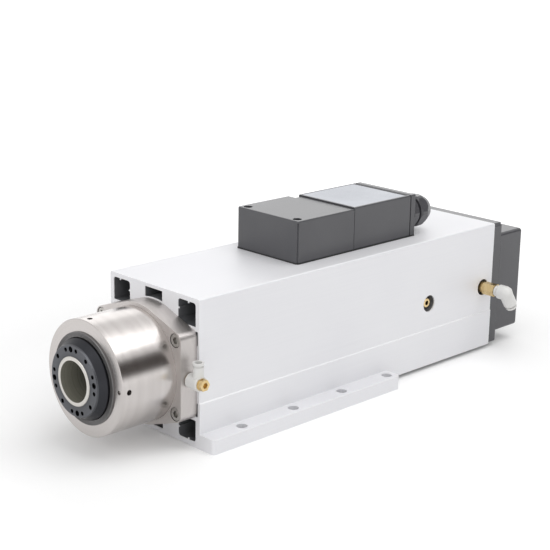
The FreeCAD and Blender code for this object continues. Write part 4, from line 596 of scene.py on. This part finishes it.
def dark_steel():
    """Blackened steel: the ring's face is brighter on its edges, partly wear and partly a painted highlight;
    painted shade makes its cone darkest and painted light makes the nut lightest.
    """
    # Painted shade: the cone's colour.
    cone_painted_shade = (0.040, 0.041, 0.046)
    # Painted light: the nut's colour.
    nut_painted_light = (0.180, 0.176, 0.176)
    finish, radius = turned_metal("dark_steel", dark=(0.085, 0.088, 0.095), light=(0.125, 0.128, 0.14),
                                  rough=0.36, lines=1300.0, depth=0.3)
    plain = finish.fed("Base Color")
    # Painted highlight on the edges of the ring's face, partly wear.
    face = finish.highlight_and_rub(plain, reach=0.6 * MM, amount=0.35, bright=(0.28, 0.29, 0.32))
    # Painted shade on the cone and painted light on the nut, by radius round the spindle axis.
    ring = finish.mix(finish.past(radius, NOSE_RING_FACE, CONE_STEP), face, cone_painted_shade)
    finish.feed("Base Color", finish.mix(finish.past(radius, NOSE_RING_EDGE), ring, nut_painted_light))
    return finish.material


def ground_steel():
    """Bright ground steel, made dull and dark inside the tool taper as painted shade."""
    # Painted shade inside the tool taper, in place of metal.
    taper_painted_shade = (0.175, 0.17, 0.14)
    finish, radius = turned_metal("ground_steel", dark=(0.55, 0.53, 0.50), light=(0.66, 0.64, 0.61),
                                  rough=0.3, lines=1300.0)
    # Painted shade: inside the taper the colour is dark olive grey and the steel is not metallic.
    outside = finish.past(radius, TAPER_BORE)
    finish.feed("Base Color", finish.mix(outside, taper_painted_shade, finish.fed("Base Color")))
    finish.feed("Metallic", outside)
    return finish.material


def label_silver():
    """The bare silver film of the label plate."""
    finish = Finish("label_silver", metallic=0.5)
    skin = finish.effect("moulded", Grain=700.0)
    tone = finish.mottle(skin["Tone"], dark=(0.38, 0.395, 0.43), light=(0.45, 0.465, 0.50))
    finish.feed("Base Color", tone)
    finish.roughness(skin["Height"], low=0.38, high=0.48)
    finish.bump(skin["Height"], strength=0.1, distance=0.04 * MM)
    return finish.material


def laminated_iron():
    """Core iron with the fine rings of its stacked sheets."""
    radians_per_metre = 6000.0
    finish = Finish("core_iron", metallic=0.8)
    grain = finish.effect("drawn", Streaks=500.0)
    along = add_math(finish.tree, "MULTIPLY", finish.axes()["Y"], radians_per_metre)
    sheets = add_math(finish.tree, "SINE", along, 0.0)
    tone = finish.mottle(grain["Tone"], dark=(0.16, 0.16, 0.175), light=(0.25, 0.25, 0.27))
    finish.feed("Base Color", tone)
    finish.roughness(grain["Height"], low=0.45, high=0.6)
    finish.bump(sheets, strength=0.5, distance=0.1 * MM)
    return finish.material


def wound_copper():
    """Enamelled copper with the ridges of its wires along the part."""
    finish = Finish("copper", metallic=0.7)
    wires = finish.effect("drawn", Streaks=1100.0)
    tone = finish.mottle(wires["Height"], dark=(0.36, 0.13, 0.05), light=(0.68, 0.31, 0.14))
    finish.feed("Base Color", tone)
    finish.roughness(wires["Height"], low=0.28, high=0.42)
    finish.bump(wires["Height"], strength=0.8, distance=0.3 * MM)
    return finish.material


def make_finishes():
    """Each slot's finish, by the slot's name in the record, and the black one of the blackened screws."""
    finishes = {
        "anodised_aluminium": anodised_aluminium(),
        "nickel_steel": nickel_steel(),
        "dark_steel": dark_steel(),
        "ground_steel": ground_steel(),
        "core_iron": laminated_iron(),
        "copper": wound_copper(),
        "grey_plastic": grey_plastic(),
    }
    for name, dark, light, rough, lines in TURNED_METALS:
        finishes[name] = turned_metal(name, dark, light, rough, lines)[0].material
    for name, dark, light, rough, grain, depth in MOULDED_MATERIALS:
        finishes[name] = moulded_material(name, dark, light, rough, grain, depth).material
    return finishes


# Tools for the pieces


def deselect_all():
    if bpy.context.object and bpy.context.object.mode != "OBJECT":
        bpy.ops.object.mode_set(mode="OBJECT")
    bpy.ops.object.select_all(action="DESELECT")


def take_in_hand(piece):
    deselect_all()
    piece.select_set(True)
    bpy.context.view_layer.objects.active = piece


def edit_all(piece):
    take_in_hand(piece)
    bpy.ops.object.mode_set(mode="EDIT")
    bpy.ops.mesh.select_all(action="SELECT")


def apply_bevel(piece, width, steps=BEVEL_STEPS, angle=SHARP_EDGE):
    bevel = piece.modifiers.new("edge_break", "BEVEL")
    bevel.width = width
    bevel.segments = steps
    bevel.limit_method = "ANGLE"
    bevel.angle_limit = angle
    bevel.use_clamp_overlap = True
    bpy.ops.object.modifier_apply(modifier=bevel.name)


def smooth_flat_faced(piece):
    """Shades the piece smooth across its bevels and keeps its large faces flat."""
    bpy.ops.object.shade_smooth_by_angle(angle=SHARP_EDGE)
    weighted = piece.modifiers.new("flat_faces", "WEIGHTED_NORMAL")
    weighted.weight = FLAT_FACE_WEIGHT
    weighted.keep_sharp = True
    bpy.ops.object.modifier_apply(modifier=weighted.name)


def select_top(piece, top, facing_up, reach):
    """Selects the faces that look up and lie within reach of that height, in edit mode."""
    bpy.ops.mesh.select_all(action="DESELECT")
    bpy.ops.object.mode_set(mode="OBJECT")
    for face in piece.data.polygons:
        face.select = face.normal.z > facing_up and face.center.z > top - reach
    bpy.ops.object.mode_set(mode="EDIT")


def merged_copy(node):
    """A copy of a CAD node's mesh with its loose triangles joined into whole faces."""
    piece = bpy.data.objects.new(f"finished_{node}", frame["nodes"][node].data.copy())
    bpy.context.scene.collection.objects.link(piece)
    edit_all(piece)
    bpy.ops.mesh.customdata_custom_splitnormals_clear()
    bpy.ops.mesh.remove_doubles(threshold=WELD_DISTANCE)
    bpy.ops.mesh.dissolve_limited(angle_limit=FLAT_ENOUGH)
    bpy.ops.object.mode_set(mode="OBJECT")
    return piece


def slot_of(node):
    return next(part["material_slot"] for part in frame["record"]["subparts"] if part["node"] == node)


def stand_for(piece, node, body):
    """The finished piece takes its node's place and body."""
    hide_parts(node)
    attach(piece, body)


def wear(piece, material):
    piece.data.materials.clear()
    piece.data.materials.append(material)


# Pieces


def ease_node(node, body, width):
    """A CAD node with its edges broken, as a machined or moulded piece has them."""
    piece = merged_copy(node)
    if node == "terminal_box_gasket":
        round_gasket_corners(piece)
    if node == "rear_plate":
        raise_plate_top(piece)
    take_in_hand(piece)
    apply_bevel(piece, width)
    if node == "connector_hood":
        sink_label_bed(piece, width)
    smooth_flat_faced(piece)
    wear(piece, FINISHES["black_oxide" if node in BLACKENED_SCREWS else slot_of(node)])
    stand_for(piece, node, body)
    if node == "disc_springs":
        press_springs(piece)


def press_springs(springs):
    """Gives the disc springs a mesh of their own."""
    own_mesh(springs)


def round_gasket_corners(gasket):
    """Trims the gasket's front corners round, so that they stay under the box."""
    low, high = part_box("terminal_box_gasket")
    edit_all(gasket)
    for edge, side in ((low[0], -1), (high[0], 1)):
        middle = Vector((edge - side * GASKET_CORNER, low[1] + GASKET_CORNER, low[2]))
        for angle in GASKET_CUTS:
            way = Vector((side * math.cos(angle), -math.sin(angle), 0))
            bpy.ops.mesh.select_all(action="SELECT")
            bpy.ops.mesh.bisect(plane_co=middle + way * GASKET_CORNER, plane_no=way,
                                use_fill=True, clear_outer=True)
    bpy.ops.object.mode_set(mode="OBJECT")


def raise_plate_top(plate):
    """Brings the rear plate's top almost level with the housing's, as the photograph shows it."""
    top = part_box("rear_plate")[1][2]
    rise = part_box("housing_extrusion")[1][2] - top - PLATE_STEP
    edit_all(plate)
    select_top(plate, top, PLATE_FACING_UP, PLATE_REACH)
    bpy.ops.transform.translate(value=(0, 0, rise))
    bpy.ops.object.mode_set(mode="OBJECT")


def sink_label_bed(hood, rounding):
    """A shallow bed in the hood's top face, inside its rounded edges, for the bare label."""
    edit_all(hood)
    select_top(hood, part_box("connector_hood")[1][2], HOOD_FACING_UP, HOOD_REACH)
    bpy.ops.mesh.inset(thickness=LABEL_BED_MARGIN - rounding, depth=0)
    bpy.ops.mesh.extrude_region_move(TRANSFORM_OT_translate={"value": (0, 0, -LABEL_BED_DEPTH)})
    bpy.ops.object.mode_set(mode="OBJECT")
    apply_bevel(hood, LABEL_BED_EDGE, steps=1, angle=SQUARE_EDGE)


def lay_label():
    """The bare silver plate on the hood. Its print is left off."""
    low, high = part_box("connector_hood")
    edge = LABEL_BED_MARGIN + LABEL_GAP
    front = low[1] + edge
    back = high[1] - edge - LABEL_REAR_GAP
    left = low[0] + edge
    right = high[0] - edge
    middle = ((left + right) / 2, (front + back) / 2, high[2] - LABEL_BED_DEPTH)
    deselect_all()
    bpy.ops.mesh.primitive_plane_add(size=1, location=middle)
    label = bpy.context.object
    label.name = "label_plate"
    label.scale = (right - left, back - front, 1)
    bpy.ops.object.transform_apply(location=True, rotation=True, scale=True)
    bpy.ops.object.mode_set(mode="EDIT")
    bpy.ops.mesh.select_all(action="SELECT")
    bpy.ops.mesh.bevel(offset=LABEL_CORNER, segments=LABEL_CORNER_STEPS, affect="VERTICES")
    bpy.ops.mesh.select_all(action="SELECT")
    bpy.ops.mesh.extrude_region_move(TRANSFORM_OT_translate={"value": (0, 0, LABEL_THICKNESS)})
    bpy.ops.mesh.select_all(action="SELECT")
    bpy.ops.mesh.normals_make_consistent(inside=False)
    bpy.ops.object.mode_set(mode="OBJECT")
    apply_bevel(label, LABEL_EDGE, steps=1, angle=SQUARE_EDGE)
    smooth_flat_faced(label)
    wear(label, label_silver())
    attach(label, "housing")


def finish_nodes():
    """Every CAD node gets its slot's finish."""
    for node, thing in frame["nodes"].items():
        for place in thing.material_slots:
            place.material = FINISHES[slot_of(node)]


# Making

bpy.context.scene.view_settings.view_transform = "Standard"
deselect_all()
FINISHES = make_finishes()
finish_nodes()
for eased_node, carrier, bevel_mm in EASED_NODES:
    ease_node(eased_node, carrier, bevel_mm * MM)
lay_label()
deselect_all()
place_camera()
hang_softboxes()
fill_world()
lay_floor()
stand_dark_card()
